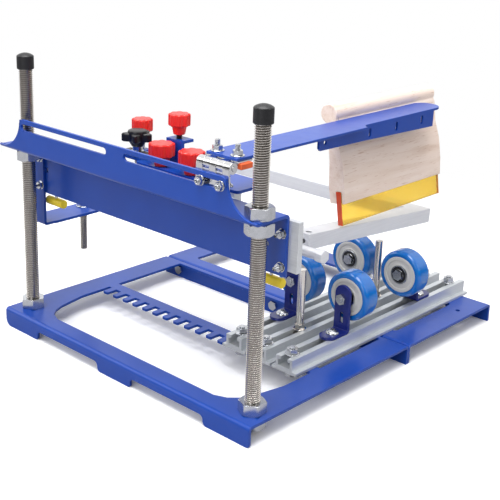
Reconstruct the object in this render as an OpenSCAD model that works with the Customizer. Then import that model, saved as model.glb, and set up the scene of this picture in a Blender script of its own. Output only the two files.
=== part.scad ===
// Tabletop screen printing press for round and tapered ware.
// A pair of bolted sheet steel frames carries two threaded posts, three slotted rails with four
// wheels that turn the ware, and a height-adjustable bridge. The bridge holds a sliding screen
// frame and a hinged squeegee arm.
// x runs along the front edge, y runs from the front flange to the rear, z is up from the table.
// The origin is on the table, under the middle of the front flange's centre foot.

/* [Base] */
// Width of the base frames
base_w = 350; // [340:1:380]
// Depth of the front base frame
front_frame_d = 236; // [230:1:260]
// Depth of the rear base frame
rear_frame_d = 158; // [150:1:180]
// Height of the base's top surface above the table
base_h = 20; // [19:0.5:30]
// Thickness of the folded steel sheet
sheet_t = 3; // [2:0.25:4]
// Width of the side strips
strip_w = 30; // [26:1:32]
// Outer radius of the folds
fold_r = 4; // [3.5:0.25:5]
// Width of the front strip
front_strip_w = 21; // [19:0.5:22]
// Width of the rear strip
rear_strip_w = 32; // [28:1:36]
// Depth of the flange between the feet
flange_d = 10.5; // [8:0.5:12]
// Width of the lip along each side of the frames' joint
joint_lip_w = 20; // [18:1:24]
// Width of the front frame's lip at the joint
front_lip_w = 8; // [8:0.5:12]

/* [Comb bar] */
// Distance from the base's front face to the bottoms of the comb's slots
comb_y = 118; // [114:1:120]
// Width of the bar behind the comb's slots
comb_bar_w = 13.5; // [10:0.5:18]
// Length of the comb's teeth
comb_tooth_l = 13; // [8:0.5:13]
// Width of a comb tooth
comb_tooth_w = 8; // [6:0.5:9]
// Distance from tooth to tooth
comb_pitch = 16; // [15:0.5:17]
// Number of comb teeth
comb_teeth = 18; // [8:1:18]

/* [Posts] */
// Distance between the two post axes
post_spacing = 315; // [305:1:320]
// Distance from the base's front face to the post axes
post_y = 23; // [21:0.5:25]
// Diameter of the threaded posts
post_d = 14; // [12:0.5:14.5]
// Height of the posts' tops above the table
post_top = 287; // [270:1:320]
// Width across the flats of the post nuts
post_nut_af = 22; // [19:1:24]
// Height of the post nuts
post_nut_h = 11; // [9:0.5:11.5]
// Outer diameter of the post caps
cap_d = 17; // [16:0.5:20]
// Height of the post caps
cap_h = 16; // [15:0.5:20]

/* [Bridge] */
// Height of the bridge flange's top surface above the table
bridge_top = 195.5; // [190:0.5:200]
// Distance from the bridge's middle to its left end
bridge_left = 185; // [178:1:190]
// Distance from the bridge's middle to its right end
bridge_right = 167; // [166:1:170]
// Distance from the base's front face to the bridge's front face
bridge_y = 7.5; // [6:0.5:9]
// Depth of the bridge from its front plate to its web's rear face
bridge_d = 42.5; // [42:0.5:46]
// Height of the upturned front plate above the flange
upturn_h = 31.5; // [30:0.5:36]
// Height of the web's lower edge above the table
web_bottom = 140; // [130:1:141]
// Inset of the web's left end from the bridge's left end
web_inset = 15; // [12:1:16]
// Radius of the sweeps at the ends of the upturned plate
sweep_r = 31.5; // [26:0.5:31.5]
// Height of the two long slots
slot_h = 6.5; // [6:0.25:7]
// Left end of the left slot
slot1_x0 = -147; // [-148:1:-120]
// Right end of the left slot
slot1_x1 = -17; // [-60:1:-10]
// Left end of the right slot
slot2_x0 = 7; // [2:1:20]
// Right end of the right slot
slot2_x1 = 131; // [131:0.5:132]

/* [Slide and carriage] */
// Length of the slide rail
slide_l = 354; // [350:1:360]
// Height of the slide rail's section
slide_h = 45; // [44:0.5:46]
// Depth of the slide rail's section
slide_d = 6; // [6:0.25:6.5]
// Width of the carriage block along the slide
carriage_w = 48; // [40:1:52]
// Gap between sliding faces
slide_gap = 0.3; // [0.2:0.05:0.4]
// Diameter of the bumper sleeves
bumper_d = 9; // [8:0.5:10]
// Length of the bumper sleeves
bumper_l = 27; // [22:1:30]
// Diameter of the tilt rod
tilt_rod_d = 10; // [9:0.5:10.5]
// Distance from the base's front face to the tilt rod's axis
tilt_rod_y = 140; // [138:0.5:142]
// Height of the tilt rod's axis
tilt_rod_z = 127; // [125:0.5:127]

/* [Screen frame] */
// Length of the screen frame along the bridge
frame_l = 295; // [286:1:296]
// Depth of the screen frame
frame_w = 210; // [200:1:212]
// Width of the frame's tube
tube_w = 20; // [18:0.5:22]
// Height of the frame's tube
tube_h = 15.5; // [15:0.25:15.5]
// Wall of the frame's tube
tube_t = 1.5; // [1.2:0.1:2]
// Rear-down tilt of the frame at rest
frame_tilt = 4.9; // [4.8:0.1:5.4]

/* [Squeegee] */
// Length of the squeegee along the arm
squeegee_l = 170; // [150:1:172]
// Lean of the squeegee across the arm
squeegee_lean = 8.8; // [8:0.1:9.5]
// Thickness of the wooden handle's body
handle_t = 19; // [18:0.5:20]
// Thickness of the blade
blade_t = 6; // [5:0.5:7]
// Width of the arm at the hinge
arm_w = 36; // [34:0.5:38]
// Width of the arm at the squeegee
arm_tip_w = 29; // [28.5:0.25:30]
// Thickness of the arm's sheet
arm_t = 2.5; // [2:0.25:2.75]
// Distance from the base's front face to the arm's tip
arm_tip_y = 341; // [325:1:345]

/* [Rails and wheels] */
// Length of each slotted rail
rail_l = 300; // [295:1:310]
// Width of a rail's foot
rail_foot_w = 30; // [28:0.5:31]
// Height of a rail
rail_h = 15; // [14:0.25:15]
// Width of a rail's slot
rail_slot_w = 8; // [7:0.25:9]
// Distance from the base's front face to the rails' near ends
rail_y = 100; // [96:1:104]
// Place of the left rail across the base
rail_left_x = 63; // [61:0.5:64]
// Diameter of the wheels
wheel_d = 50; // [46:1:51]
// Width of the wheels' tread
wheel_w = 22; // [20:0.5:23]
// Height of the wheel axles above the table
axle_z = 70; // [68:0.5:72]
// Diameter of the wheel axle bolts
axle_d = 6; // [5:0.5:6.5]
// Width of the wheel brackets
bracket_w = 18; // [17:0.5:20]
// Thickness of the wheel brackets
bracket_t = 3; // [2.5:0.25:3]
// Distance from the base's front face to the front brackets' uprights
front_bracket_y = 185; // [182:1:188]
// Distance from the base's front face to the rear brackets' uprights
rear_bracket_y = 305; // [300:1:308]
// Diameter of the stop pins
pin_d = 8; // [7:0.5:8.5]
// Height of the stop pins' tops above the table
pin_top = 98; // [90:1:99]

/* [Knobs] */
// Diameter of the two low red knobs
low_knob_d = 25; // [22:0.5:25]
// Diameter of the two high red knobs
high_knob_d = 21; // [18:0.5:22]
// Diameter of the star knob
star_knob_d = 31; // [28:0.5:32]

/* [Hidden] */

$fn = 64;
eps = 1;
// Radial clearance of a running fit, and of a screw in its plain hole
run_fit = 0.08;
screw_fit = 0.3;

// The front flange's middle plane is y = 0
front_y = -sheet_t / 2;
half_w = base_w / 2;
sheet_z = base_h - sheet_t;
inner_x = half_w - strip_w;
joint_y = front_y + front_frame_d;
base_rear_y = joint_y + rear_frame_d;
foot_r = 4.5;
foot_end_r = 3;
foot_corner_r = 8;
foot_w = 55;
centre_foot_w = 48;
joint_bolt_d = 6;
joint_bolt_z = base_h / 2;
joint_bolt_x = [-half_w + 25, 0, half_w - 25];
comb_front_y = front_y + comb_y - comb_tooth_l;
// Corners of the front opening, from the side strip's edge and from the front face
opening_corner = [[0, comb_y - 38], [7, 46], [12, 34.5], [20, 26], [32, front_strip_w]];

post_x = post_spacing / 2;
post_ay = front_y + post_y;
post_r = post_d / 2;
post_bottom = base_h - sheet_t - post_nut_h - 3;
cap_grip = cap_h - 3;
cap_dome_r = 14;

bridge_fy = front_y + bridge_y;
bridge_ry = bridge_fy + bridge_d;
flange_z = bridge_top - sheet_t;
plate_top = bridge_top + upturn_h;
slot_z = plate_top - 7.75;
web_y = bridge_ry - sheet_t;
web_left = -bridge_left + web_inset;
plate_corner_r = 5;

slide_z = web_bottom + 5;
slide_y = bridge_ry;
slide_top = slide_z + slide_h;
// The slide is a head on a narrower neck, with a solid end under each pair of screws
slide_neck_d = 2.5;
slide_neck_z = [slide_z + 5, slide_top - 5];
slide_end_l = 22;
bridge_screw_d = 4;
bridge_screw_z = [slide_z + 3.5, slide_z + 33];
bridge_screw_x = [-bridge_left + 19, bridge_right - 5];

bumper_y = slide_y + slide_neck_d + 1.5;
bumper_z = web_bottom - 9.4;
bumper_x = [-post_x + 3.8, post_x - 11.5];
bumper_pin_d = 3;

plate_t = 3;
plate_z = slide_top + 7;
plate_front_y = bridge_ry + 4;
plate_d = 21.5;
plate_lobe_d = 41;
knob_y = plate_front_y + 8;
knob_x = [-1, 39];
carriage_left = knob_x[1] + 13;
carriage_right = carriage_left + carriage_w;
plate_x = [knob_x[0] - 29, carriage_right + 4];
plate_lobe_x = carriage_left + 6;
carriage_y = slide_y + slide_d + slide_gap;
carriage_d = 7.2;
jaw_t = 2.7;
hook_h = 5;
arm_flange_t = plate_z - slide_top - 3;
arm_flange_y = [bridge_ry + 3, bridge_ry + 21];
holder_t = 4;

tilt_y = front_y + tilt_rod_y;
tilt_z = tilt_rod_z;
tilt_x0 = -half_w + 60;
tilt_x1 = half_w - 46;
tilt_nut_h = 8;
clamp_x = [-75, 67];
clamp_w = 18;

frame_x1 = post_x - 47.5;
frame_x0 = frame_x1 - frame_l;
frame_front = 9;
frame_top = 13.8;

star_x = knob_x[0] - 40;
star_y = plate_front_y + 13.5;
star_z = plate_z + 18.5;
lock_x = [star_x - 19, star_x + 19];
lock_y = [star_y - 3.5, star_y + 7.5];
lock_h = 4.5;
wing_y = [plate_front_y + 9.5, plate_front_y + 35.5];
rear_knob_x = star_x - 20;
rear_knob_y = star_y + 24;
rear_knob_z = plate_z + 17;
tongue_w = 13;
tall_knob_x = knob_x[0] + 3;
tall_knob_y = plate_front_y + 27.5;
shelf_w = 22;
shelf_d = 15;
shelf_z = plate_z + 27;
shelf_y = tall_knob_y - 6.5;
knob_stud_r = 3;

hinge_y = front_y + 16;
hinge_r = 5;
hinge_x0 = post_x - 62;
hinge_w = 38;
hinge_leaf_t = 2;
hinge_pin_r = 2;
knuckles = 5;
arm_z = bridge_top + 42.5;
hinge_z = arm_z - hinge_r;
knuckle_w = hinge_w / knuckles;
leaf_bolt_x = [hinge_x0 + 9.5, hinge_x0 + 32.5];
leaf_bolt_d = 4;

arm_x0 = post_x - 60.5;
arm_y0 = front_y + 21;
arm_y1 = front_y + arm_tip_y;
arm_neck_y0 = front_y + 185;
arm_neck_y1 = front_y + 207;
arm_flange_y0 = front_y + 136;
arm_flange_y1 = front_y + 322;
arm_screw = [[arm_x0 + 6, arm_y0 + 7.5], [arm_x0 + 29, arm_y0 + 7.5]];
arm_screw_d = 5;
arm_leaf_d = 18;
pad = [5, 14, 5];

squeegee_y0 = front_y + 199;
squeegee_bolt_y = [squeegee_y0 + 14, squeegee_y0 + 58, squeegee_y0 + 102];
squeegee_bolt_d = 4;
squeegee_bolt_drop = 11;
handle_top = 18;
handle_bottom = -79.5;
blade_bottom = -101;
blade_grip = 12;
waist_t = 11;
// Gap between the wooden handle and the arm's leaning flange
handle_gap = 0.3;
arm_left_hang = 17;

rail_x = [rail_left_x, rail_left_x + 2 * comb_pitch, rail_left_x + 4 * comb_pitch];
rail_y0 = front_y + rail_y;
rail_top = base_h + rail_h;
rail_box_w = 20;
rail_foot_t = 3;
rail_cavity_w = 14;
rail_floor = 5.5;
rail_lip_t = 3.5;
rail_screw_d = 6;
rail_screw_y = [comb_front_y + 6.5, base_rear_y - 12];

hub_r = 19;
bearing_r = 10;
wheel_gap = 2.5;
bracket_base_l = 31;
bracket_screw_d = 6;
bracket_screw_in = 15;
front_by = front_y + front_bracket_y;
rear_by = front_y + rear_bracket_y;
pin_y = [front_by - 24, rear_by - 17];

stud_x = -bridge_left + 2;
stud_y = front_y + 113;
stud_d = 8;
stud_nut_af = 13;
stud_nut_h = 6.5;
ledge_z = web_bottom - 36;
leg_x0 = -bridge_left + 5;
leg_w = 18;
ledge_x0 = -bridge_left - 10;
ledge_w = 34;
ledge_end_y = front_y + 125;

blue = "#2a49b8";
steel = "#b9bcc0";
dark_steel = "#8d9096";
alu = "#d6d8da";

// Small shapes

module block(x, y, z) {
    translate([x[0], y[0], z[0]]) cube([x[1] - x[0], y[1] - y[0], z[1] - z[0]]);
}

module round_rect(x, y, r) {
    translate([x[0] + r, y[0]]) square([x[1] - x[0] - 2 * r, y[1] - y[0]]);
    translate([x[0], y[0] + r]) square([x[1] - x[0], y[1] - y[0] - 2 * r]);
    for (cx = [x[0] + r, x[1] - r])
        for (cy = [y[0] + r, y[1] - r]) translate([cx, cy]) circle(r);
}

module slot_2d(x0, x1, y, h) {
    translate([x0 + h / 2, y - h / 2]) square([x1 - x0 - h, h]);
    translate([x0 + h / 2, y]) circle(h / 2);
    translate([x1 - h / 2, y]) circle(h / 2);
}

// What a rounding of radius r takes away at a corner whose solid lies on the sx and sz side
module corner_2d(x, z, r, sx, sz) {
    translate([x, z]) mirror([sx < 0 ? 1 : 0, 0]) mirror([0, sz < 0 ? 1 : 0]) difference() {
        translate([-0.01, -0.01]) square(r + 0.01);
        translate([r, r]) circle(r);
    }
}

// A quarter of a bend around a centre, with its outer and inner radius
module bend_2d(center, r, t, sx, sy) {
    translate(center) intersection() {
        difference() {
            circle(r);
            circle(r - t);
        }
        translate([sx > 0 ? 0 : -r, sy > 0 ? 0 : -r]) square([r, r]);
    }
}

// Turns an outline in y and z into a bar along x
module along_x(x0, length) {
    translate([x0, 0, 0]) rotate([90, 0, 90]) linear_extrude(length) children();
}

// Turns an outline in x and z into a bar along y
module along_y(y0, length) {
    translate([0, y0 + length, 0]) rotate([90, 0, 0]) linear_extrude(length) children();
}

module hex_nut(af, h, bore_r) {
    difference() {
        cylinder(r = af / 2 / cos(30), h = h, $fn = 6);
        translate([0, 0, -eps]) cylinder(r = bore_r, h = h + 2 * eps);
    }
}

module washer(r, bore_r, h) {
    difference() {
        cylinder(r = r, h = h);
        translate([0, 0, -eps]) cylinder(r = bore_r, h = h + 2 * eps);
    }
}

// A bolt along z with its head below z = 0
module hex_bolt(d, length, af, head_h) {
    cylinder(d = d, h = length);
    translate([0, 0, -head_h]) cylinder(r = af / 2 / cos(30), h = head_h, $fn = 6);
}

// A lobed knob head with a skirt below; the lobes end a little inside the head's faces where inset says so
module lobed_knob(d, head_h, skirt_h, lobes, inset = 0) {
    lobe_r = d * 0.17;
    translate([0, 0, skirt_h]) {
        cylinder(r = d / 2 - lobe_r * 0.75, h = head_h);
        for (k = [0 : lobes - 1])
            rotate([0, 0, k * 360 / lobes]) translate([d / 2 - lobe_r, 0, inset])
                cylinder(r = lobe_r, h = head_h - 2 * inset);
    }
    cylinder(r = d * 0.3, h = skirt_h + eps);
}

// Base frames

module front_plan() {
    y1 = joint_y - front_lip_w;
    difference() {
        translate([-half_w, front_y + fold_r]) square([base_w, joint_y - front_y - 2 * fold_r]);
        difference() {
            polygon(concat([[-inner_x, front_y + comb_y]],
                [for (c = opening_corner) [-inner_x + c[0], front_y + c[1]]],
                [for (k = [len(opening_corner) - 1 : -1 : 0])
                    [inner_x - opening_corner[k][0], front_y + opening_corner[k][1]]],
                [[inner_x, front_y + comb_y]]));
            for (k = [0 : comb_teeth - 1]) comb_tooth(k);
        }
        translate([-inner_x, front_y + comb_y + comb_bar_w])
            square([2 * inner_x, y1 - front_y - comb_y - comb_bar_w]);
        for (side = [-1, 1]) translate([side * post_x, post_ay]) circle(post_r + run_fit);
    }
}

module comb_tooth(k) {
    cx = rail_x[2] + comb_pitch * (k + 0.5 - comb_teeth + 1);
    tip_r = 2;
    w = comb_tooth_w;
    translate([cx - w / 2, comb_front_y + tip_r]) square([w, comb_tooth_l - tip_r + 0.01]);
    translate([cx - w / 2 + tip_r, comb_front_y]) square([w - 2 * tip_r, tip_r + 0.01]);
    for (s = [-1, 1]) translate([cx + s * (w / 2 - tip_r), comb_front_y + tip_r]) circle(tip_r);
}

// The down-turned flange's section at the front of a frame, and mirrored at its rear
module flange_section(outer_y, s) {
    translate([outer_y, 0]) scale([s, 1]) {
        square([sheet_t, base_h - fold_r]);
        bend_2d([fold_r, base_h - fold_r], fold_r, sheet_t, -1, 1);
    }
}

// The gap under a flange between two feet, with rounded roots and rounded feet
module foot_gap(x0, x1, y) {
    h = base_h - flange_d;
    along_y(y - eps, sheet_t + 2 * eps) {
        difference() {
            translate([x0, -eps]) square([x1 - x0, h + eps]);
            corner_2d(x0, h, foot_r, 1, -1);
            corner_2d(x1, h, foot_r, -1, -1);
        }
        corner_2d(x0, 0, foot_end_r, -1, 1);
        corner_2d(x1, 0, foot_r, 1, 1);
    }
}

module joint_bolt_holes() {
    for (x = joint_bolt_x)
        translate([x, joint_y + 4 * eps + sheet_t, joint_bolt_z]) rotate([90, 0, 0])
            cylinder(r = joint_bolt_d / 2 + screw_fit, h = 2 * sheet_t + 8 * eps);
}

module front_base_frame() {
    color(blue) difference() {
        union() {
            translate([0, 0, sheet_z]) linear_extrude(sheet_t) front_plan();
            along_x(-half_w, base_w) flange_section(front_y, 1);
            along_x(-half_w, base_w) flange_section(joint_y, -1);
        }
        foot_gap(-half_w + foot_w, -centre_foot_w / 2, front_y);
        foot_gap(centre_foot_w / 2, half_w - foot_w, front_y);
        along_y(front_y - eps, sheet_t + 2 * eps) {
            corner_2d(-half_w, 0, foot_corner_r, 1, 1);
            corner_2d(half_w, 0, foot_end_r, -1, 1);
        }
        joint_bolt_holes();
    }
}

module rear_plan() {
    difference() {
        translate([-half_w, joint_y + fold_r]) square([base_w, rear_frame_d - 2 * fold_r]);
        round_rect([-inner_x, inner_x], [joint_y + joint_lip_w, base_rear_y - rear_strip_w], 4);
        for (x = rail_x) translate([x, rail_screw_y[1]]) circle(rail_screw_d / 2 + screw_fit);
        for (s = [-1, 1]) translate([s * (half_w - 15), base_rear_y - 43]) circle(2.5);
    }
}

module rear_base_frame() {
    color(blue) difference() {
        union() {
            translate([0, 0, sheet_z]) linear_extrude(sheet_t) rear_plan();
            along_x(-half_w, base_w) flange_section(joint_y, 1);
            along_x(-half_w, base_w) flange_section(base_rear_y, -1);
        }
        foot_gap(-half_w + foot_w, half_w - foot_w, base_rear_y - sheet_t);
        joint_bolt_holes();
    }
}

module base_joint_bolts() {
    color(dark_steel) for (x = joint_bolt_x) {
        translate([x, joint_y - sheet_t, joint_bolt_z]) rotate([-90, 0, 0])
            hex_bolt(joint_bolt_d, 2 * sheet_t + 8, 10, 4);
        translate([x, joint_y + sheet_t + 5, joint_bolt_z]) rotate([90, 0, 0])
            hex_nut(10, 5, joint_bolt_d / 2);
    }
}

// Posts

module post(side) {
    translate([side * post_x, post_ay, post_bottom])
        cylinder(r = post_r, h = post_top - post_bottom);
}

module left_post() { color(steel) post(-1); }
module right_post() { color(steel) post(1); }

module base_nuts() {
    color(steel) for (s = [-1, 1], z = [base_h, sheet_z - post_nut_h])
        translate([s * post_x, post_ay, z]) hex_nut(post_nut_af, post_nut_h, post_r);
}

module post_caps() {
    color("#1b1b1d") for (s = [-1, 1])
        translate([s * post_x, post_ay, post_top - cap_grip]) difference() {
            intersection() {
                cylinder(d = cap_d, h = cap_h);
                translate([0, 0, cap_h - cap_dome_r]) sphere(cap_dome_r);
            }
            translate([0, 0, -eps]) cylinder(r = post_r, h = cap_grip + eps);
        }
}

// Rails

module rail_section(x) {
    top = rail_top;
    translate([x - rail_foot_w / 2, base_h]) square([rail_foot_w, rail_foot_t]);
    difference() {
        translate([x - rail_box_w / 2, base_h]) square([rail_box_w, rail_h]);
        translate([x - rail_slot_w / 2, base_h + rail_floor]) square([rail_slot_w, rail_h]);
        translate([x - rail_cavity_w / 2, base_h + rail_floor])
            square([rail_cavity_w, rail_h - rail_floor - rail_lip_t]);
    }
}

module track_rails() {
    color(alu) for (x = rail_x) difference() {
        along_y(rail_y0, rail_l) rail_section(x);
        for (y = rail_screw_y) translate([x, y, base_h - eps])
            cylinder(r = rail_screw_d / 2 + screw_fit, h = rail_floor + 2 * eps);
    }
}

module rail_screws() {
    washer_h = 1.2;
    nut_h = 5;
    color(steel) for (x = rail_x, y = rail_screw_y) {
        translate([x, y, sheet_z]) hex_bolt(rail_screw_d, sheet_t + rail_h + washer_h + nut_h + 1.5, 10, 4);
        translate([x, y, rail_top]) washer(7, rail_screw_d / 2, washer_h);
        translate([x, y, rail_top + washer_h]) hex_nut(10, nut_h, rail_screw_d / 2);
    }
}

// Bridge

module bridge_section() {
    y0 = bridge_fy;
    translate([y0 + fold_r, flange_z]) square([bridge_d - 2 * fold_r, sheet_t]);
    bend_2d([y0 + fold_r, flange_z + fold_r], fold_r, sheet_t, -1, -1);
    translate([y0, flange_z + fold_r]) square([sheet_t, plate_top - flange_z - fold_r]);
    bend_2d([bridge_ry - fold_r, bridge_top - fold_r], fold_r, sheet_t, 1, 1);
    translate([web_y, web_bottom]) square([sheet_t, bridge_top - fold_r - web_bottom]);
}

module bridge_beam() {
    color(blue) difference() {
        along_x(-bridge_left, bridge_left + bridge_right) bridge_section();
        for (x = [-bridge_left + 4, bridge_right - 2])
            translate([x, bridge_fy + fold_r - 0.5, plate_top]) rotate([90, 0, 0])
                cylinder(r = sweep_r, h = fold_r + 2);
        along_y(bridge_fy - eps, sheet_t + 2 * eps) {
            corner_2d(-bridge_left + 4 + sweep_r, plate_top, plate_corner_r, 1, -1);
            corner_2d(bridge_right - 2 - sweep_r, plate_top, plate_corner_r, -1, -1);
        }
        block([-bridge_left - eps, web_left], [bridge_ry - fold_r, bridge_ry + eps],
            [web_bottom - eps, bridge_top + eps]);
        along_y(bridge_fy - eps, sheet_t + 2 * eps) {
            slot_2d(slot1_x0, slot1_x1, slot_z, slot_h);
            slot_2d(slot2_x0, slot2_x1, slot_z, slot_h);
        }
        for (s = [-1, 1]) translate([s * post_x, post_ay, flange_z - eps])
            cylinder(r = post_r + run_fit, h = sheet_t + 2 * eps);
        bridge_screw_holes(web_y - eps, sheet_t + 2 * eps);
        for (hole = [[bridge_right - 22, slide_z + 20], [web_left + 10, slide_z + 20]])
            translate([hole[0], web_y - eps, hole[1]]) rotate([-90, 0, 0])
                cylinder(r = 2.5, h = sheet_t + 2 * eps);
    }
}

module bridge_screw_holes(y, length) {
    for (x = bridge_screw_x, z = bridge_screw_z) translate([x, y, z]) rotate([-90, 0, 0])
        cylinder(r = bridge_screw_d / 2 + screw_fit, h = length);
}

module bridge_nuts() {
    color(steel) for (s = [-1, 1], z = [bridge_top, flange_z - post_nut_h])
        translate([s * post_x, post_ay, z])
            hex_nut(post_nut_af, post_nut_h, post_r + run_fit);
}

module slide_section() {
    y0 = slide_y;
    y1 = slide_y + slide_neck_d;
    y2 = slide_y + slide_d;
    polygon([[y0, slide_neck_z[0]], [y1, slide_neck_z[0]], [y1, slide_z], [y2, slide_z],
        [y2, slide_top], [y1, slide_top], [y1, slide_neck_z[1]], [y0, slide_neck_z[1]]]);
}

module slide_rail() {
    color(alu) difference() {
        union() {
            along_x(-slide_l / 2, slide_l) slide_section();
            for (x = [-slide_l / 2, slide_l / 2 - slide_end_l]) along_x(x, slide_end_l)
                translate([slide_y, slide_z]) square([slide_d, slide_h]);
        }
        for (x = bridge_screw_x, z = bridge_screw_z) translate([x, slide_y - eps, z])
            rotate([-90, 0, 0]) cylinder(r = bridge_screw_d / 2, h = 5 + eps);
        for (x = bumper_x) bumper_pin(x);
    }
}

module bridge_screws() {
    color(steel) for (x = bridge_screw_x, z = bridge_screw_z) {
        front = x < 0 ? web_y - sheet_t : web_y;
        translate([x, front - 6, z]) rotate([-90, 0, 0])
            cylinder(d = bridge_screw_d, h = slide_y + 5 - front + 6);
        translate([x, front - 3.5, z]) rotate([-90, 0, 0]) hex_nut(7, 3.5, bridge_screw_d / 2);
    }
}

// Each bumper hangs from a pin pressed into the slide's underside
module bumper_pin(x) {
    translate([x, slide_y + slide_neck_d + bumper_pin_d / 2 + 0.25, bumper_z - 2])
        cylinder(d = bumper_pin_d, h = slide_z + 8 - bumper_z);
}

module bumper_mounts() {
    color(dark_steel) for (x = bumper_x) bumper_pin(x);
}

module slide_bumpers() {
    color("#f2cf1d") for (x = bumper_x) difference() {
        translate([x - bumper_l / 2, bumper_y, bumper_z]) rotate([0, 90, 0])
            cylinder(d = bumper_d, h = bumper_l);
        bumper_pin(x);
    }
}

// Left bracket with its levelling stud

module left_bracket() {
    leg_y0 = web_y - sheet_t;
    color(blue) difference() {
        union() {
            block([leg_x0, leg_x0 + leg_w], [leg_y0, web_y], [ledge_z + fold_r, flange_z - 1.5]);
            translate([leg_x0, 0, 0]) along_x(0, leg_w)
                bend_2d([leg_y0 + fold_r, ledge_z + fold_r], fold_r, sheet_t, -1, -1);
            translate([0, 0, ledge_z]) linear_extrude(sheet_t) {
                translate([leg_x0, leg_y0 + fold_r]) square([leg_w, 12]);
                round_rect([ledge_x0, ledge_x0 + ledge_w], [web_y + 4, ledge_end_y], 10);
            }
        }
        for (z = bridge_screw_z) translate([bridge_screw_x[0], leg_y0 - eps, z])
            rotate([-90, 0, 0]) cylinder(r = bridge_screw_d / 2 + screw_fit, h = sheet_t + 2 * eps);
        translate([stud_x, stud_y, ledge_z - eps]) cylinder(r = stud_d / 2 + screw_fit, h = sheet_t + 2 * eps);
    }
}

module levelling_nuts() {
    color(steel) translate([stud_x, stud_y, 0]) {
        translate([0, 0, ledge_z + sheet_t]) washer(8, stud_d / 2 + run_fit, 1.2);
        for (z = [ledge_z + sheet_t + 1.2, ledge_z - stud_nut_h])
            translate([0, 0, z]) hex_nut(stud_nut_af, stud_nut_h, stud_d / 2 + run_fit);
    }
}

module levelling_stud() {
    color(steel) translate([stud_x, stud_y, 0]) {
        translate([0, 0, ledge_z - 47]) cylinder(d = stud_d, h = 58);
    }
}

// Knobs on the carriage

module lock_block() {
    base_z = plate_z + plate_t;
    color("#232427") difference() {
        block(lock_x, lock_y, [base_z, base_z + lock_h]);
        translate([star_x, star_y, base_z - eps])
            cylinder(r = knob_stud_r + run_fit, h = lock_h + 2 * eps);
    }
}

module star_knob() {
    collar_z = plate_z + plate_t + lock_h + 0.3;
    skirt_h = 4;
    color("#232427") translate([star_x, star_y, 0]) {
        translate([0, 0, plate_z - 3]) cylinder(r = knob_stud_r, h = star_z - plate_z + 4);
        translate([0, 0, collar_z]) cylinder(r = 6, h = star_z - skirt_h / 2 - collar_z);
        translate([0, 0, star_z - skirt_h])
            rotate([0, 0, 20]) lobed_knob(star_knob_d, 11.5, skirt_h, 5, inset = 0.4);
    }
}

module knob_on_stud(d, head_h, skirt_h, lobes, stud_r, stud_l) {
    lobed_knob(d, head_h, skirt_h, lobes);
    translate([0, 0, -stud_l]) cylinder(r = stud_r, h = stud_l + eps);
}

module rear_red_knob() {
    color("#e0261f") translate([rear_knob_x, rear_knob_y, rear_knob_z])
        knob_on_stud(high_knob_d, 13, 4, 8, knob_stud_r, rear_knob_z - plate_z + 3);
}

module knob_bracket() {
    x = [tall_knob_x - shelf_w / 2, tall_knob_x + shelf_w / 2];
    foot_z = plate_z + plate_t;
    color(blue) difference() {
        union() {
            block(x, [shelf_y, shelf_y + sheet_t], [foot_z, shelf_z]);
            block(x, [shelf_y, shelf_y + shelf_d], [shelf_z - sheet_t, shelf_z]);
            block(x, [shelf_y, shelf_y + shelf_d], [foot_z, foot_z + sheet_t]);
        }
        translate([tall_knob_x, tall_knob_y, shelf_z - sheet_t - eps])
            cylinder(r = knob_stud_r + run_fit, h = sheet_t + 2 * eps);
    }
}

module tall_red_knob() {
    color("#e0261f") translate([tall_knob_x, tall_knob_y, shelf_z + 4])
        knob_on_stud(high_knob_d, 12, 8, 8, knob_stud_r, sheet_t + 12);
}

module low_red_knob(k) {
    color("#e0261f") translate([knob_x[k], knob_y, plate_z + plate_t + 0.3])
        knob_on_stud(low_knob_d, 13, 9, 8, knob_stud_r, plate_t + arm_flange_t + 1.5);
}

module left_red_knob() { low_red_knob(0); }
module right_red_knob() { low_red_knob(1); }

// Squeegee hinge

module knuckle(k) {
    translate([hinge_x0 + k * knuckle_w + 0.1, hinge_y, hinge_z]) rotate([0, 90, 0])
        cylinder(r = hinge_r, h = knuckle_w - 0.2);
}

module hinge_bore() {
    translate([hinge_x0 - eps, hinge_y, hinge_z]) rotate([0, 90, 0])
        cylinder(r = hinge_pin_r + run_fit, h = hinge_w + 2 * eps);
}

module hinge_fixed_leaf() {
    leaf_y = bridge_fy + sheet_t + 0.1;
    color(steel) difference() {
        union() {
            block([hinge_x0, hinge_x0 + hinge_w], [leaf_y, leaf_y + hinge_leaf_t],
                [slot_z - 9, hinge_z - hinge_r - 0.4]);
            for (k = [0 : 2 : knuckles - 1]) {
                knuckle(k);
                block([hinge_x0 + k * knuckle_w + 0.1, hinge_x0 + (k + 1) * knuckle_w - 0.1],
                    [leaf_y, leaf_y + hinge_leaf_t], [slot_z, hinge_z]);
            }
        }
        hinge_bore();
        for (x = leaf_bolt_x) translate([x, leaf_y - eps, slot_z]) rotate([-90, 0, 0])
            cylinder(r = leaf_bolt_d / 2 + screw_fit, h = hinge_leaf_t + 2 * eps);
    }
}

module hinge_leaf_bolts() {
    back = bridge_fy + sheet_t + 0.1 + hinge_leaf_t;
    color(steel) for (x = leaf_bolt_x) {
        translate([x, back, slot_z]) rotate([90, 0, 0]) hex_bolt(leaf_bolt_d, back - bridge_fy + 6, 7, 3);
        translate([x, bridge_fy, slot_z]) rotate([90, 0, 0]) washer(4.5, leaf_bolt_d / 2, 1);
        translate([x, bridge_fy - 1, slot_z]) rotate([90, 0, 0]) hex_nut(7, 3.5, leaf_bolt_d / 2);
    }
}

module hinge_pin() {
    color(steel) translate([hinge_x0 - 0.5, hinge_y, hinge_z]) rotate([0, 90, 0])
        cylinder(r = hinge_pin_r, h = hinge_w + 1);
}

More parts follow.
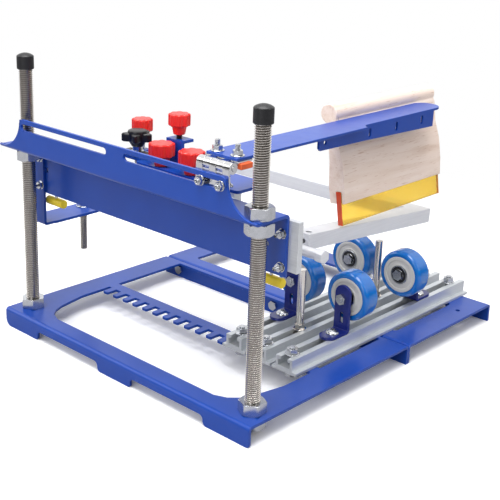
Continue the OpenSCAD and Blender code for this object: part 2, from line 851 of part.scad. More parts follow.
module hinge_moving_leaf() {
    leaf_z = arm_z - hinge_leaf_t;
    color(steel) difference() {
        union() {
            block([hinge_x0, hinge_x0 + hinge_w], [hinge_y + hinge_r + 0.4, arm_y0 + arm_leaf_d],
                [leaf_z, arm_z]);
            for (k = [1 : 2 : knuckles - 1]) {
                knuckle(k);
                block([hinge_x0 + k * knuckle_w + 0.1, hinge_x0 + (k + 1) * knuckle_w - 0.1],
                    [hinge_y, hinge_y + hinge_r + 2], [leaf_z, arm_z]);
            }
        }
        hinge_bore();
        arm_screw_holes(leaf_z);
    }
}

module arm_screw_holes(z) {
    for (p = arm_screw) translate([p[0], p[1], z - eps])
        cylinder(r = arm_screw_d / 2 + screw_fit, h = 10);
}

// Squeegee arm: a top sheet with a vertical flange on its right and a leaning one on its left

module arm_plan() {
    x0 = arm_x0;
    wide = x0 + arm_w;
    narrow = x0 + arm_tip_w;
    notch_r = 8;
    difference() {
        union() {
            translate([x0, arm_y0]) square([arm_w, arm_neck_y1 - arm_y0]);
            translate([x0, arm_neck_y0]) square([arm_tip_w, arm_y1 - arm_neck_y0 - arm_tip_w / 2]);
            translate([x0 + arm_tip_w / 2, arm_y1 - arm_tip_w / 2]) circle(arm_tip_w / 2);
        }
        translate([narrow + notch_r, arm_neck_y0 + 14]) square([arm_w, 40]);
        translate([narrow, arm_neck_y0 + 14 + notch_r]) square([arm_w, 40]);
        translate([narrow + notch_r, arm_neck_y0 + 14 + notch_r]) circle(notch_r);
    }
}

module leaning(x, z) {
    translate([x, 0, z]) rotate([0, -squeegee_lean, 0]) children();
}

module squeegee_arm() {
    right = arm_x0 + arm_tip_w;
    color(blue) difference() {
        union() {
            translate([0, 0, arm_z]) linear_extrude(arm_t) arm_plan();
            along_x(right - arm_t, arm_t) polygon([[arm_flange_y0, arm_z - 9.5],
                [arm_flange_y0 + 2, arm_z - 12], [arm_neck_y1, arm_z - 13],
                [arm_flange_y1, arm_z - 16], [arm_flange_y1, arm_z + 1], [arm_flange_y0, arm_z + 1]]);
            leaning(arm_x0, arm_z) block([0, arm_t], [squeegee_y0 + 2, squeegee_y0 + 132],
                [-arm_left_hang, 1]);
        }
        for (y = squeegee_bolt_y) translate([right - arm_t - eps, y, arm_z - 6.5])
            rotate([90, 0, 90]) linear_extrude(arm_t + 2 * eps) rotate([0, 0, 90]) slot_2d(-4.5, 4.5, 0, 3.5);
        for (y = squeegee_bolt_y) leaning(arm_x0, arm_z)
            translate([-eps, y, -squeegee_bolt_drop]) rotate([90, 0, 90])
                linear_extrude(arm_t + 2 * eps) rotate([0, 0, 90]) slot_2d(-2.4, 7, 0, 4.8);
        translate([right - arm_t - eps, arm_flange_y0 + 9, arm_z - 5]) rotate([0, 90, 0])
            cylinder(r = 2, h = arm_t + 2 * eps);
        arm_screw_holes(arm_z);
    }
}

module arm_screws() {
    color(steel) for (p = arm_screw) {
        translate([p[0], p[1], arm_z - hinge_leaf_t]) hex_bolt(arm_screw_d, hinge_leaf_t + arm_t + 10, 8, 3.5);
        translate([p[0], p[1], arm_z + arm_t]) washer(6, arm_screw_d / 2, 1);
        translate([p[0], p[1], arm_z + arm_t + 1]) hex_nut(8, 4, arm_screw_d / 2);
    }
}

module rubber_pad() {
    x = hinge_x0 + hinge_w - pad[0] / 2;
    color("#e8632a") translate([x, arm_y0 + 2, arm_z - hinge_leaf_t - pad[2]]) cube(pad);
}

// Squeegee: its outline is drawn in x and z about the point where it meets the arm

module handle_outline() {
    half = handle_t / 2;
    body_x = -handle_t + 4;
    waist_x = -waist_t - 1.5;
    difference() {
        polygon([[waist_x, handle_top - half], [-handle_gap - 4, handle_top - half],
            [-handle_gap, 0], [-handle_gap, -arm_left_hang - 4], [3.5, -40], [4, -62], [2.5, handle_bottom],
            [body_x, handle_bottom], [body_x - 0.5, -62], [waist_x - 0.3, -38],
            [waist_x, -squeegee_bolt_drop - 7]]);
        translate([-blade_t / 2 - 3.5, handle_bottom - eps]) square([blade_t, blade_grip + eps]);
    }
}

module squeegee_handle() {
    color("#dcc3a3") difference() {
        leaning(arm_x0, arm_z) {
            along_y(squeegee_y0, squeegee_l) handle_outline();
            translate([-handle_t / 2 - 0.2, squeegee_y0 + squeegee_l, handle_top - handle_t / 2])
                rotate([90, 0, 0]) cylinder(d = handle_t, h = squeegee_l);
        }
        for (y = squeegee_bolt_y) leaning(arm_x0, arm_z)
            translate([-handle_t - 5, y, -squeegee_bolt_drop]) rotate([0, 90, 0])
                cylinder(r = squeegee_bolt_d / 2, h = handle_t + 10);
    }
}

module squeegee_blade() {
    color([1, 0.75, 0.15, 0.8]) leaning(arm_x0, arm_z)
        block([-blade_t / 2 - 3.5, blade_t / 2 - 3.5], [squeegee_y0 - 0.5, squeegee_y0 + squeegee_l + 0.5],
            [blade_bottom, handle_bottom + blade_grip]);
}

module squeegee_bolts() {
    head_x = -waist_t - 1.5;
    bolt_tip = arm_tip_w - arm_t - 1.5;
    color(steel) for (y = squeegee_bolt_y) leaning(arm_x0, arm_z)
        translate([0, y, -squeegee_bolt_drop]) {
            translate([head_x, 0, 0]) rotate([0, 90, 0]) hex_bolt(squeegee_bolt_d, bolt_tip - head_x, 7, 2.8);
            translate([arm_t + 0.3, 0, 0]) rotate([0, 90, 0]) hex_nut(7, 3.2, squeegee_bolt_d / 2);
        }
}

// Carriage that slides along the bridge and carries the screen frame

// The carriage's outline reaches over and under the slide's head and hooks behind it
module carriage_section() {
    y0 = slide_y + slide_gap;
    y1 = slide_y + slide_neck_d - slide_gap;
    y2 = carriage_y;
    y3 = carriage_y + carriage_d;
    low = slide_z - slide_gap;
    high = slide_top + slide_gap;
    polygon([[y0, low - jaw_t], [y3, low - jaw_t], [y3, plate_z], [plate_front_y, plate_z],
        [plate_front_y, high + jaw_t], [y0, high + jaw_t], [y0, high - hook_h], [y1, high - hook_h],
        [y1, high], [y2, high], [y2, low], [y1, low], [y1, low + hook_h], [y0, low + hook_h]]);
}

module carriage_block() {
    color(alu) difference() {
        along_x(carriage_left, carriage_w) carriage_section();
        carriage_screw_holes(plate_z - 12, 2);
    }
}

module carriage_screw_holes(z, r) {
    for (x = [carriage_left + 12, carriage_right - 12])
        translate([x, carriage_y + carriage_d / 2, z]) cylinder(r = r, h = 20);
}

module carriage_plate() {
    color(blue) difference() {
        translate([0, 0, plate_z]) linear_extrude(plate_t) {
            round_rect(plate_x, [plate_front_y, plate_front_y + plate_d], 4);
            round_rect([plate_lobe_x, plate_x[1]], [plate_front_y, plate_front_y + plate_lobe_d], 8);
            round_rect([lock_x[0] - 2, plate_x[0] + 8], wing_y, 4);
            round_rect([rear_knob_x - tongue_w / 2, rear_knob_x + tongue_w / 2],
                [wing_y[0] + 2, rear_knob_y + tongue_w / 2], 4);
            round_rect([tall_knob_x - shelf_w / 2 - 1, tall_knob_x + shelf_w / 2 + 1],
                [plate_front_y + 5, shelf_y + shelf_d], 2);
        }
        carriage_screw_holes(plate_z - 12, 2.3);
        for (p = [[knob_x[0], knob_y], [knob_x[1], knob_y], [star_x, star_y], [rear_knob_x, rear_knob_y]])
            translate([p[0], p[1], plate_z - eps])
                cylinder(r = knob_stud_r + run_fit, h = plate_t + 2 * eps);
    }
}

module carriage_screws() {
    color(steel) for (x = [carriage_left + 12, carriage_right - 12])
        translate([x, carriage_y + carriage_d / 2, plate_z + plate_t]) rotate([180, 0, 0])
            hex_bolt(4, plate_t + 11, 7, 2.8);
}

module holder_arms() {
    top = plate_z;
    color(blue) for (x = knob_x) difference() {
        union() {
            block([x - 10, x + 10], arm_flange_y, [top - arm_flange_t, top]);
            along_x(x - holder_t / 2, holder_t) polygon([[arm_flange_y[1] - 5, top - arm_flange_t + 1],
                [arm_flange_y[1], top - arm_flange_t + 1], [tilt_y - 34, tilt_z + 36],
                [tilt_y + 4, tilt_z + 9], [tilt_y + 4, tilt_z - 8], [tilt_y - 12, tilt_z - 9],
                [arm_flange_y[1] - 5, tilt_z + 36]]);
            translate([x - 5, tilt_y, tilt_z]) rotate([0, 90, 0]) cylinder(r = 8.5, h = 10);
        }
        translate([x, knob_y, top - arm_flange_t - eps])
            cylinder(r = knob_stud_r + run_fit, h = arm_flange_t + 2 * eps);
        translate([x - 6, tilt_y, tilt_z]) rotate([0, 90, 0]) cylinder(d = tilt_rod_d, h = 12);
    }
}

module tilt_rod() {
    color(alu) {
        translate([tilt_x0, tilt_y, tilt_z]) rotate([0, 90, 0]) cylinder(d = tilt_rod_d, h = tilt_x1 - tilt_x0);
        for (x = [tilt_x0, tilt_x1]) translate([x - (x < 0 ? tilt_nut_h : 0), tilt_y, tilt_z])
            rotate([0, 90, 0]) cylinder(r = 7, h = tilt_nut_h, $fn = 6);
    }
}

// Screen frame, drawn level about the tilt rod's axis and then tilted rear down

module tilted() {
    translate([0, tilt_y, tilt_z]) rotate([-frame_tilt, 0, 0]) children();
}

module frame_tube(x, y) {
    z0 = frame_top - tube_h;
    difference() {
        block(x, y, [z0, frame_top]);
        if (y[1] - y[0] > x[1] - x[0])
            block([x[0] + tube_t, x[1] - tube_t], [y[0] + tube_w, y[1] - tube_w],
                [z0 + tube_t, frame_top - tube_t]);
        else
            block([x[0] + tube_t, x[1] - tube_t], [y[0] + tube_t, y[1] - tube_t],
                [z0 + tube_t, frame_top - tube_t]);
    }
}

module screen_frame() {
    y0 = frame_front;
    y1 = frame_front + frame_w;
    color(alu) tilted() difference() {
        union() {
            frame_tube([frame_x0, frame_x1], [y0, y0 + tube_w]);
            frame_tube([frame_x0, frame_x1], [y1 - tube_w, y1]);
            for (x = [frame_x0, frame_x1 - tube_w]) difference() {
                block([x, x + tube_w], [y0 + tube_w, y1 - tube_w], [frame_top - tube_h, frame_top]);
                block([x + tube_t, x + tube_w - tube_t], [y0 + tube_w + eps, y1 - tube_w - eps],
                    [frame_top - tube_h + tube_t, frame_top - tube_t]);
            }
        }
        translate([frame_x1 - 8, y0 + 8, frame_top - tube_t - eps]) cylinder(r = 3, h = tube_t + 2 * eps);
        along_y(y0 - eps, tube_t + 2 * eps) slot_2d(frame_x1 - 14, frame_x1 - 5, frame_top - 8, 4);
    }
}

module frame_clamps() {
    color(alu) tilted() for (x = clamp_x) {
        difference() {
            block([x, x + clamp_w], [-9, frame_front], [-9, frame_top - 2]);
            translate([x - eps, 0, 0]) rotate([0, 90, 0]) cylinder(r = tilt_rod_d / 2 + run_fit, h = clamp_w + 2 * eps);
        }
    }
}

// Wheels: 1 and 2 on the left rail, 3 and 4 on the right one, odd ones at the front

function wheel_x(k) = k <= 2 ? rail_x[0] : rail_x[2];
function is_front(k) = k % 2 == 1;

// Places a shape drawn with its bracket's upright from y = 0 and its wheel behind it
module mirrored(k) {
    y = is_front(k) ? front_by : rear_by + bracket_t;
    translate([wheel_x(k), y, 0]) mirror([0, is_front(k) ? 0 : 1, 0]) children();
}

module wheel_bracket(k) {
    base_z = rail_top;
    base_y = -bracket_base_l + bracket_t;
    half = bracket_w / 2;
    color("#1d2a6e") mirrored(k) difference() {
        union() {
            translate([0, 0, base_z]) linear_extrude(bracket_t) {
                translate([-half, base_y + half]) square([bracket_w, -base_y - half + bracket_t - fold_r]);
                translate([0, base_y + half]) circle(half);
            }
            along_x(-half, bracket_w)
                bend_2d([bracket_t - fold_r, base_z + fold_r], fold_r, bracket_t, 1, -1);
            along_y(0, bracket_t) {
                translate([-half, base_z + fold_r]) square([bracket_w, axle_z + 5 - base_z - fold_r]);
                translate([0, axle_z + 5]) circle(half);
            }
        }
        translate([0, base_y + bracket_screw_in, base_z - eps])
            cylinder(r = bracket_screw_d / 2 + screw_fit, h = bracket_t + 2 * eps);
        translate([0, -eps, axle_z]) rotate([-90, 0, 0])
            cylinder(r = axle_d / 2 + screw_fit, h = bracket_t + 2 * eps);
        translate([0, 0, base_z + 15]) along_y(-eps, bracket_t + 2 * eps)
            rotate([0, 0, 90]) slot_2d(-6, 6, 0, 4);
    }
}

// The axle bolt and nut, and the screw and slot nut that clamp the bracket to its rail
module bracket_bolts(k) {
    base_y = -bracket_base_l + bracket_t;
    axle_l = bracket_t + wheel_gap + wheel_w + 3;
    nut_z = base_h + rail_floor + 0.3;
    color(steel) mirrored(k) {
        translate([0, 0, axle_z]) rotate([-90, 0, 0]) {
            translate([0, 0, -4.5]) cylinder(r = axle_d / 2, h = axle_l + 4.5);
            translate([0, 0, -4]) hex_nut(10, 4, axle_d / 2);
            translate([0, 0, bracket_t]) washer(5, axle_d / 2, wheel_gap - 0.2);
            translate([0, 0, axle_l - 2.8]) cylinder(r = 5 / cos(30), h = 3, $fn = 6);
        }
        translate([0, base_y + bracket_screw_in, 0]) {
            translate([0, 0, nut_z]) cylinder(d = bracket_screw_d, h = rail_top + bracket_t - nut_z);
            translate([0, 0, rail_top + bracket_t]) intersection() {
                cylinder(r = 6.8, h = 4);
                translate([0, 0, -5.5]) sphere(r = 9.3);
            }
            difference() {
                translate([-6.5, -6.5, nut_z]) cube([13, 13, 5]);
                translate([0, 0, nut_z - eps]) cylinder(d = bracket_screw_d, h = 7);
            }
        }
    }
}

module wheel_body_y(k) {
    mirrored(k) translate([0, bracket_t + wheel_gap, axle_z]) rotate([-90, 0, 0]) children();
}

module wheel_tyre(k) {
    edge = 3;
    color("#1a74c4") wheel_body_y(k) rotate_extrude($fn = 96) difference() {
        union() {
            translate([hub_r, 1]) square([wheel_d / 2 - hub_r - edge, wheel_w - 2]);
            translate([hub_r, 1 + edge]) square([wheel_d / 2 - hub_r, wheel_w - 2 - 2 * edge]);
            for (z = [1 + edge, wheel_w - 1 - edge]) translate([wheel_d / 2 - edge, z]) circle(edge);
        }
        translate([0, -eps]) square([hub_r, wheel_w + 2 * eps]);
    }
}

module wheel_hub(k) {
    color("#d9d9d6") wheel_body_y(k) difference() {
        union() {
            cylinder(r = bearing_r, h = wheel_w);
            translate([0, 0, 0.8]) cylinder(r = hub_r, h = wheel_w - 1.6);
        }
        translate([0, 0, -eps]) cylinder(r = axle_d / 2 + run_fit, h = wheel_w + 2 * eps);
        for (z = [-eps, wheel_w - 2]) translate([0, 0, z]) difference() {
            cylinder(r = hub_r - 3, h = 2 + eps);
            translate([0, 0, -eps]) cylinder(r = bearing_r + 1.5, h = 4 + eps);
        }
    }
}

module wheel_bracket_1() { wheel_bracket(1); }
module wheel_bracket_2() { wheel_bracket(2); }
module wheel_bracket_3() { wheel_bracket(3); }
module wheel_bracket_4() { wheel_bracket(4); }
module bracket_bolts_1() { bracket_bolts(1); }
module bracket_bolts_2() { bracket_bolts(2); }
module bracket_bolts_3() { bracket_bolts(3); }
module bracket_bolts_4() { bracket_bolts(4); }
module wheel_tyre_1() { wheel_tyre(1); }
module wheel_tyre_2() { wheel_tyre(2); }
module wheel_tyre_3() { wheel_tyre(3); }
module wheel_tyre_4() { wheel_tyre(4); }
module wheel_hub_1() { wheel_hub(1); }
module wheel_hub_2() { wheel_hub(2); }
module wheel_hub_3() { wheel_hub(3); }
module wheel_hub_4() { wheel_hub(4); }

// Stop pins on the middle rail, each screwed into its own slot nut

module stop_pin(k) {
    nut_z = base_h + rail_floor + 0.3;
    color(steel) translate([rail_x[1], pin_y[k], 0]) {
        translate([0, 0, nut_z]) cylinder(r = 3, h = rail_top - nut_z + 1);
        translate([-6.5, -6.5, nut_z]) cube([13, 13, 5]);
        translate([0, 0, rail_top]) cylinder(r = 6.5, h = 1.2);
        translate([0, 0, rail_top + 1.2]) cylinder(r = 5.5, h = 5, $fn = 6);
        translate([0, 0, rail_top + 1.2]) cylinder(d = pin_d, h = pin_top - rail_top - 1.2);
    }
}

module stop_pin_1() { stop_pin(0); }
module stop_pin_2() { stop_pin(1); }

front_base_frame();
rear_base_frame();
base_joint_bolts();
left_post();
right_post();
base_nuts();
post_caps();
track_rails();
rail_screws();
bridge_beam();
bridge_nuts();
slide_rail();
bridge_screws();
left_bracket();
levelling_nuts();
bumper_mounts();
slide_bumpers();
lock_block();
knob_bracket();
levelling_stud();
star_knob();
rear_red_knob();
tall_red_knob();
left_red_knob();
right_red_knob();
hinge_fixed_leaf();
hinge_leaf_bolts();
hinge_pin();
hinge_moving_leaf();
squeegee_arm();
arm_screws();
rubber_pad();
squeegee_handle();
squeegee_blade();
squeegee_bolts();
carriage_block();
carriage_plate();
carriage_screws();
holder_arms();
tilt_rod();
screen_frame();
frame_clamps();
wheel_bracket_1();
wheel_bracket_2();
wheel_bracket_3();
wheel_bracket_4();
bracket_bolts_1();
bracket_bolts_2();
bracket_bolts_3();
bracket_bolts_4();
wheel_tyre_1();
wheel_tyre_2();
wheel_tyre_3();
wheel_tyre_4();
wheel_hub_1();
wheel_hub_2();
wheel_hub_3();
wheel_hub_4();
stop_pin_1();
stop_pin_2();
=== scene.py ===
"""Looks of the tabletop screen printing press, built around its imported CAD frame."""

import math
from typing import NamedTuple

import bpy
from mathutils import Matrix, Vector


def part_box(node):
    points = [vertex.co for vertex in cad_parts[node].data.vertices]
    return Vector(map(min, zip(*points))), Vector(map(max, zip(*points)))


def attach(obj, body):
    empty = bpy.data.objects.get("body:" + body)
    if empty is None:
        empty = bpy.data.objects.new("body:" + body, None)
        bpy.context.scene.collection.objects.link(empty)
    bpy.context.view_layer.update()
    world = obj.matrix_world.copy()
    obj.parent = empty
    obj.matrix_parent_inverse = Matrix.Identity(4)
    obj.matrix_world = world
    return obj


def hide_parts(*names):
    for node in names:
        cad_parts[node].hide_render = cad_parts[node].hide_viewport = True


bl_info = {
    "name": "Screen printing press",
    "version": (1, 0, 0),
    "blender": (4, 5, 0),
    "location": "View3D > Sidebar > Press",
    "description": "Builds the finished pieces of a tabletop screen printing press on its CAD frame",
    "category": "Object",
}

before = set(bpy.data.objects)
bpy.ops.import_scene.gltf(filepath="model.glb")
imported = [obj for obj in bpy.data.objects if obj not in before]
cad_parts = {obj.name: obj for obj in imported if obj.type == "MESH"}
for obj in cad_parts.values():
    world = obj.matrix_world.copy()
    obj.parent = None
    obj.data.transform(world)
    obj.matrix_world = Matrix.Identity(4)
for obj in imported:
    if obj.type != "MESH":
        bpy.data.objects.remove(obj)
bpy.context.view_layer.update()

MM = 0.001
MERGE = 1e-6
X_AXIS, Y_AXIS, Z_AXIS = Vector((1, 0, 0)), Vector((0, 1, 0)), Vector((0, 0, 1))


# Colours and shader nodes


def srgb(hex_value):
    """The linear colour of an sRGB hex value."""
    channels = [int(hex_value[i : i + 2], 16) / 255 for i in (1, 3, 5)]
    linear = [c / 12.92 if c <= 0.04045 else ((c + 0.055) / 1.055) ** 2.4 for c in channels]
    return (*linear, 1.0)


def tones(dark, light):
    """The dark and the light tone that a finish varies between, from sRGB hex values."""
    return srgb(dark), srgb(light)


def add_node(tree, kind, settings=None, **inputs):
    """A new shader node with its settings. Its inputs are set or linked, by name or as _0, _1 by place."""
    node = tree.nodes.new(kind)
    for name, value in (settings or {}).items():
        setattr(node, name, value)
    for name, value in inputs.items():
        key = int(name[1:]) if name[0] == "_" else name.replace("_", " ")
        if isinstance(value, bpy.types.NodeSocket):
            tree.links.new(value, node.inputs[key])
        else:
            node.inputs[key].default_value = value
    return node


def start_finish(name, **shader_inputs):
    """A new material with its shader, and the Object coordinates that its patterns are laid on."""
    material = bpy.data.materials.new(name)
    material.use_nodes = True
    tree = material.node_tree
    shader = tree.nodes["Principled BSDF"]
    for key, value in shader_inputs.items():
        shader.inputs[key.replace("_", " ")].default_value = value
    place = add_node(tree, "ShaderNodeTexCoord").outputs["Object"]
    return material, tree, shader, place


def two_tone(tree, shader, factor, pair):
    """The base colour goes from the pair's dark tone to its light one with the factor."""
    dark, light = pair
    mix = add_node(tree, "ShaderNodeMix", {"data_type": "RGBA"}, _0=factor, _6=dark, _7=light)
    tree.links.new(mix.outputs[2], shader.inputs["Base Color"])


def roughness_range(tree, shader, factor, low, high):
    """The roughness goes from low to high with the factor."""
    spread = add_node(tree, "ShaderNodeMapRange", None, Value=factor, To_Min=low, To_Max=high)
    tree.links.new(spread.outputs["Result"], shader.inputs["Roughness"])


def relief(tree, shader, height, depth_mm):
    """Bump of that depth on the shader's normal."""
    bump = add_node(tree, "ShaderNodeBump", None, Height=height, Distance=depth_mm * MM)
    tree.links.new(bump.outputs["Normal"], shader.inputs["Normal"])


def noise(tree, place, size_mm, detail, stretch=(1, 1, 1), distortion=0.0):
    """Noise with features of that size in millimetres, drawn out along an axis by a small stretch."""
    mapped = add_node(tree, "ShaderNodeMapping", None, Vector=place, Scale=stretch)
    node = add_node(
        tree,
        "ShaderNodeTexNoise",
        None,
        Vector=mapped.outputs["Vector"],
        Scale=1 / (size_mm * MM),
        Detail=detail,
        Distortion=distortion,
    )
    return node.outputs["Fac"]


# Finishes


def powder_coat(name, pair, roughness):
    """Polyester powder baked on folded steel: a thick glossy skin with a faint orange peel."""
    material, tree, shader, place = start_finish(name, IOR=1.45, Coat_Weight=0.12, Coat_Roughness=0.1)
    two_tone(tree, shader, noise(tree, place, 38, 2), pair)
    roughness_range(tree, shader, noise(tree, place, 9, 3), roughness - 0.04, roughness + 0.05)
    relief(tree, shader, noise(tree, place, 2.4, 0), 0.004)
    return material


def blue_powder_coat():
    """The press's own blue: half gloss, so that lamps show in it as soft patches."""
    colours = bpy.context.scene.press_colours
    return powder_coat("Blue polyester powder coat", (colours.coat_dark, colours.coat_light), 0.33)


def navy_powder_coat():
    """The wheel brackets' dark blue: glossier than the frames."""
    colours = bpy.context.scene.press_colours
    return powder_coat("Navy polyester powder coat", (colours.bracket_dark, colours.bracket_light), 0.2)


def metal(name, pair, roughness, grain_mm, relief_mm, stretch=(1, 1, 1), **shader_inputs):
    """Bare or plated metal whose drawn-out grain follows how it was worked."""
    shader_inputs.setdefault("Metallic", 1.0)
    material, tree, shader, place = start_finish(name, **shader_inputs)
    grain = noise(tree, place, grain_mm, 4, stretch)
    two_tone(tree, shader, grain, pair)
    roughness_range(tree, shader, grain, roughness - 0.05, roughness + 0.07)
    relief(tree, shader, grain, relief_mm)
    return material


def threaded_stainless():
    """Rolled stainless thread: bright crests, with a warm grey tint painted in as the room's reflection."""
    return metal(
        "Rolled stainless thread", tones("#d2ccc4", "#efebe6"),
        roughness=0.16, grain_mm=3, relief_mm=0.004, stretch=(1, 1, 0.2),
    )


def thread_root_painted_shade():
    """The thread's root and lower flanks, dark with painted shade."""
    # Both tones are painted shade for the thread's grooves, on the same stainless
    return metal(
        "Thread root painted shade", tones("#6d6862", "#8b857e"),
        roughness=0.35, grain_mm=3, relief_mm=0.004, stretch=(1, 1, 0.2),
    )


def zinc_steel():
    """Bright zinc plate over turned steel: cool, shiny and a little cloudy."""
    return metal(
        "Zinc-plated steel", tones("#b4b6ba", "#dcdee1"),
        roughness=0.2, grain_mm=4, relief_mm=0.008,
    )


def polished_chrome():
    """Chrome plate over pressed steel: a near mirror."""
    return metal(
        "Polished chrome plate", tones("#c9c9cb", "#efeff0"),
        roughness=0.09, grain_mm=14, relief_mm=0.004,
    )


def rail_aluminium():
    """Clear anodised extrusion along y: satin, with fine die lines."""
    return metal(
        "Anodised aluminium rail", tones("#c4c8cc", "#e2e5e8"),
        roughness=0.34, grain_mm=0.9, relief_mm=0.006, stretch=(1, 0.012, 1), Metallic=0.55,
    )


def slide_aluminium():
    """Clear anodised extrusion along x: satin, with fine die lines."""
    return metal(
        "Anodised aluminium slide", tones("#cccfd3", "#e6e8ea"),
        roughness=0.34, grain_mm=0.9, relief_mm=0.006, stretch=(0.012, 1, 1), Metallic=0.5,
    )


def tube_aluminium():
    """Mill finish aluminium tube: pale and soft, with long drawing marks."""
    return metal(
        "Mill finish aluminium tube", tones("#dcdde2", "#f0f1f4"),
        roughness=0.36, grain_mm=1.4, relief_mm=0.006, stretch=(0.04, 0.04, 1), Metallic=0.35,
    )


def bearing_steel():
    """Ground bearing steel with a pressed shield: dark and shiny."""
    return metal(
        "Ground bearing steel", tones("#85878a", "#b5b7b9"),
        roughness=0.22, grain_mm=3, relief_mm=0.006,
    )


def moulded(name, pair, roughness, pore_mm, relief_mm, **shader_inputs):
    """Moulded polymer: even colour with a fine moulded grain."""
    material, tree, shader, place = start_finish(name, IOR=1.5, **shader_inputs)
    two_tone(tree, shader, noise(tree, place, 12, 2), pair)
    roughness_range(tree, shader, noise(tree, place, 5, 2), roughness - 0.05, roughness + 0.06)
    relief(tree, shader, noise(tree, place, pore_mm, 2), relief_mm)
    return material


def black_rubber():
    """Moulded vinyl rubber: matte, with a fine skin."""
    return moulded(
        "Black vinyl rubber", tones("#111114", "#19191c"), roughness=0.4, pore_mm=0.9, relief_mm=0.015
    )


def black_nylon():
    """Glass-filled black nylon: satin with a fine moulded grain."""
    return moulded(
        "Black glass-filled nylon", tones("#111114", "#1a1a1e"), roughness=0.34, pore_mm=0.8, relief_mm=0.01
    )


def red_nylon():
    """Red moulded nylon: bright, half gloss, and a little light goes into it."""
    colours = bpy.context.scene.press_colours
    return moulded(
        "Red moulded nylon",
        (colours.knob_dark, colours.knob_light),
        roughness=0.34,
        pore_mm=1.0,
        relief_mm=0.015,
        Subsurface_Weight=0.12,
        Subsurface_Radius=(0.004, 0.0012, 0.0008),
        Subsurface_Scale=1.0,
    )


def yellow_vinyl():
    """Soft yellow vinyl sleeve."""
    return moulded("Yellow vinyl", tones("#e8c813", "#f6dc33"), roughness=0.4, pore_mm=1.2, relief_mm=0.02)


def orange_rubber():
    """Orange silicone pad: matte."""
    return moulded(
        "Orange silicone rubber", tones("#e4571f", "#f0703a"), roughness=0.48, pore_mm=1.0, relief_mm=0.03
    )


def grey_nylon():
    """Pale nylon hub: chalky and even."""
    return moulded(
        "Pale grey nylon", tones("#c3c2be", "#d3d2cf"), roughness=0.42, pore_mm=1.2, relief_mm=0.015
    )


def blue_urethane():
    """Cast polyurethane tyre: deep glossy blue, and light goes a little way in."""
    colours = bpy.context.scene.press_colours
    return moulded(
        "Blue cast polyurethane",
        (colours.tyre_dark, colours.tyre_light),
        roughness=0.14,
        pore_mm=6,
        relief_mm=0.03,
        Coat_Weight=0.5,
        Coat_Roughness=0.06,
        Subsurface_Weight=0.15,
        Subsurface_Radius=(0.0006, 0.0016, 0.004),
        Subsurface_Scale=1.0,
    )


def amber_urethane():
    """Cast amber polyurethane blade: clear, yellow where thin, with a smooth face."""
    material, tree, shader, place = start_finish(
        "Amber cast polyurethane",
        IOR=1.5,
        Transmission_Weight=0.8,
        Subsurface_Weight=0.3,
        Subsurface_Radius=(0.006, 0.003, 0.0008),
        Subsurface_Scale=1.0,
    )
    two_tone(tree, shader, noise(tree, place, 30, 2), tones("#ffd03c", "#ffe06a"))
    roughness_range(tree, shader, noise(tree, place, 6, 2), 0.08, 0.16)
    relief(tree, shader, noise(tree, place, 20, 1), 0.05)
    return material


def amber_cut_end():
    """The blade's sawn end, where its whole length is seen through: deep red orange."""
    material, tree, shader, place = start_finish(
        "Amber polyurethane, sawn end", IOR=1.5, Transmission_Weight=0.1
    )
    two_tone(tree, shader, noise(tree, place, 5, 2), tones("#cf3d1b", "#e0572a"))
    roughness_range(tree, shader, noise(tree, place, 2, 2), 0.18, 0.26)
    relief(tree, shader, noise(tree, place, 0.6, 2, (1, 1, 0.1)), 0.02)
    return material


def oiled_maple():
    """Sawn and oiled pale hardwood: long wavy grain along the handle, with fine pores."""
    material, tree, shader, place = start_finish("Oiled pale hardwood", IOR=1.45)
    bent = noise(tree, place, 60, 2, (1, 0.25, 1))
    shifted = add_node(
        tree, "ShaderNodeVectorMath", {"operation": "MULTIPLY_ADD"}, _0=bent, _1=(0.02, 0, 0.028), _2=place
    )
    bands = noise(tree, shifted.outputs["Vector"], 7, 5, (1, 0.07, 1), 0.4)
    contrast = add_node(
        tree, "ShaderNodeMapRange", {"interpolation_type": "SMOOTHSTEP"}, Value=bands, _1=0.3, _2=0.72
    )
    wide = noise(tree, place, 26, 2, (1, 0.12, 1), 0.5)
    both = add_node(
        tree, "ShaderNodeMath", {"operation": "MULTIPLY_ADD"}, _0=contrast.outputs["Result"], _1=0.4, _2=wide
    )
    shade = add_node(tree, "ShaderNodeMapRange", None, Value=both.outputs["Value"], _1=0.35, _2=1.1)
    ramp = add_node(tree, "ShaderNodeValToRGB", None, Fac=shade.outputs["Result"])
    ramp.color_ramp.elements[0].color = srgb("#fae8dc")
    ramp.color_ramp.elements[1].color = srgb("#dcbfac")
    middle = ramp.color_ramp.elements.new(0.55)
    middle.color = srgb("#f1dccd")
    pores = noise(tree, place, 0.8, 3, (1, 0.05, 1))
    pore_edge = add_node(tree, "ShaderNodeMapRange", None, Value=pores, _1=0.62, _2=0.72)
    fine = add_node(
        tree,
        "ShaderNodeMix",
        {"data_type": "RGBA", "blend_type": "MULTIPLY"},
        _0=pore_edge.outputs["Result"],
        _6=ramp.outputs["Color"],
        _7=srgb("#dcc8b8"),
    )
    tree.links.new(fine.outputs[2], shader.inputs["Base Color"])
    roughness_range(tree, shader, contrast.outputs["Result"], 0.42, 0.55)
    relief(tree, shader, bands, 0.08)
    return material


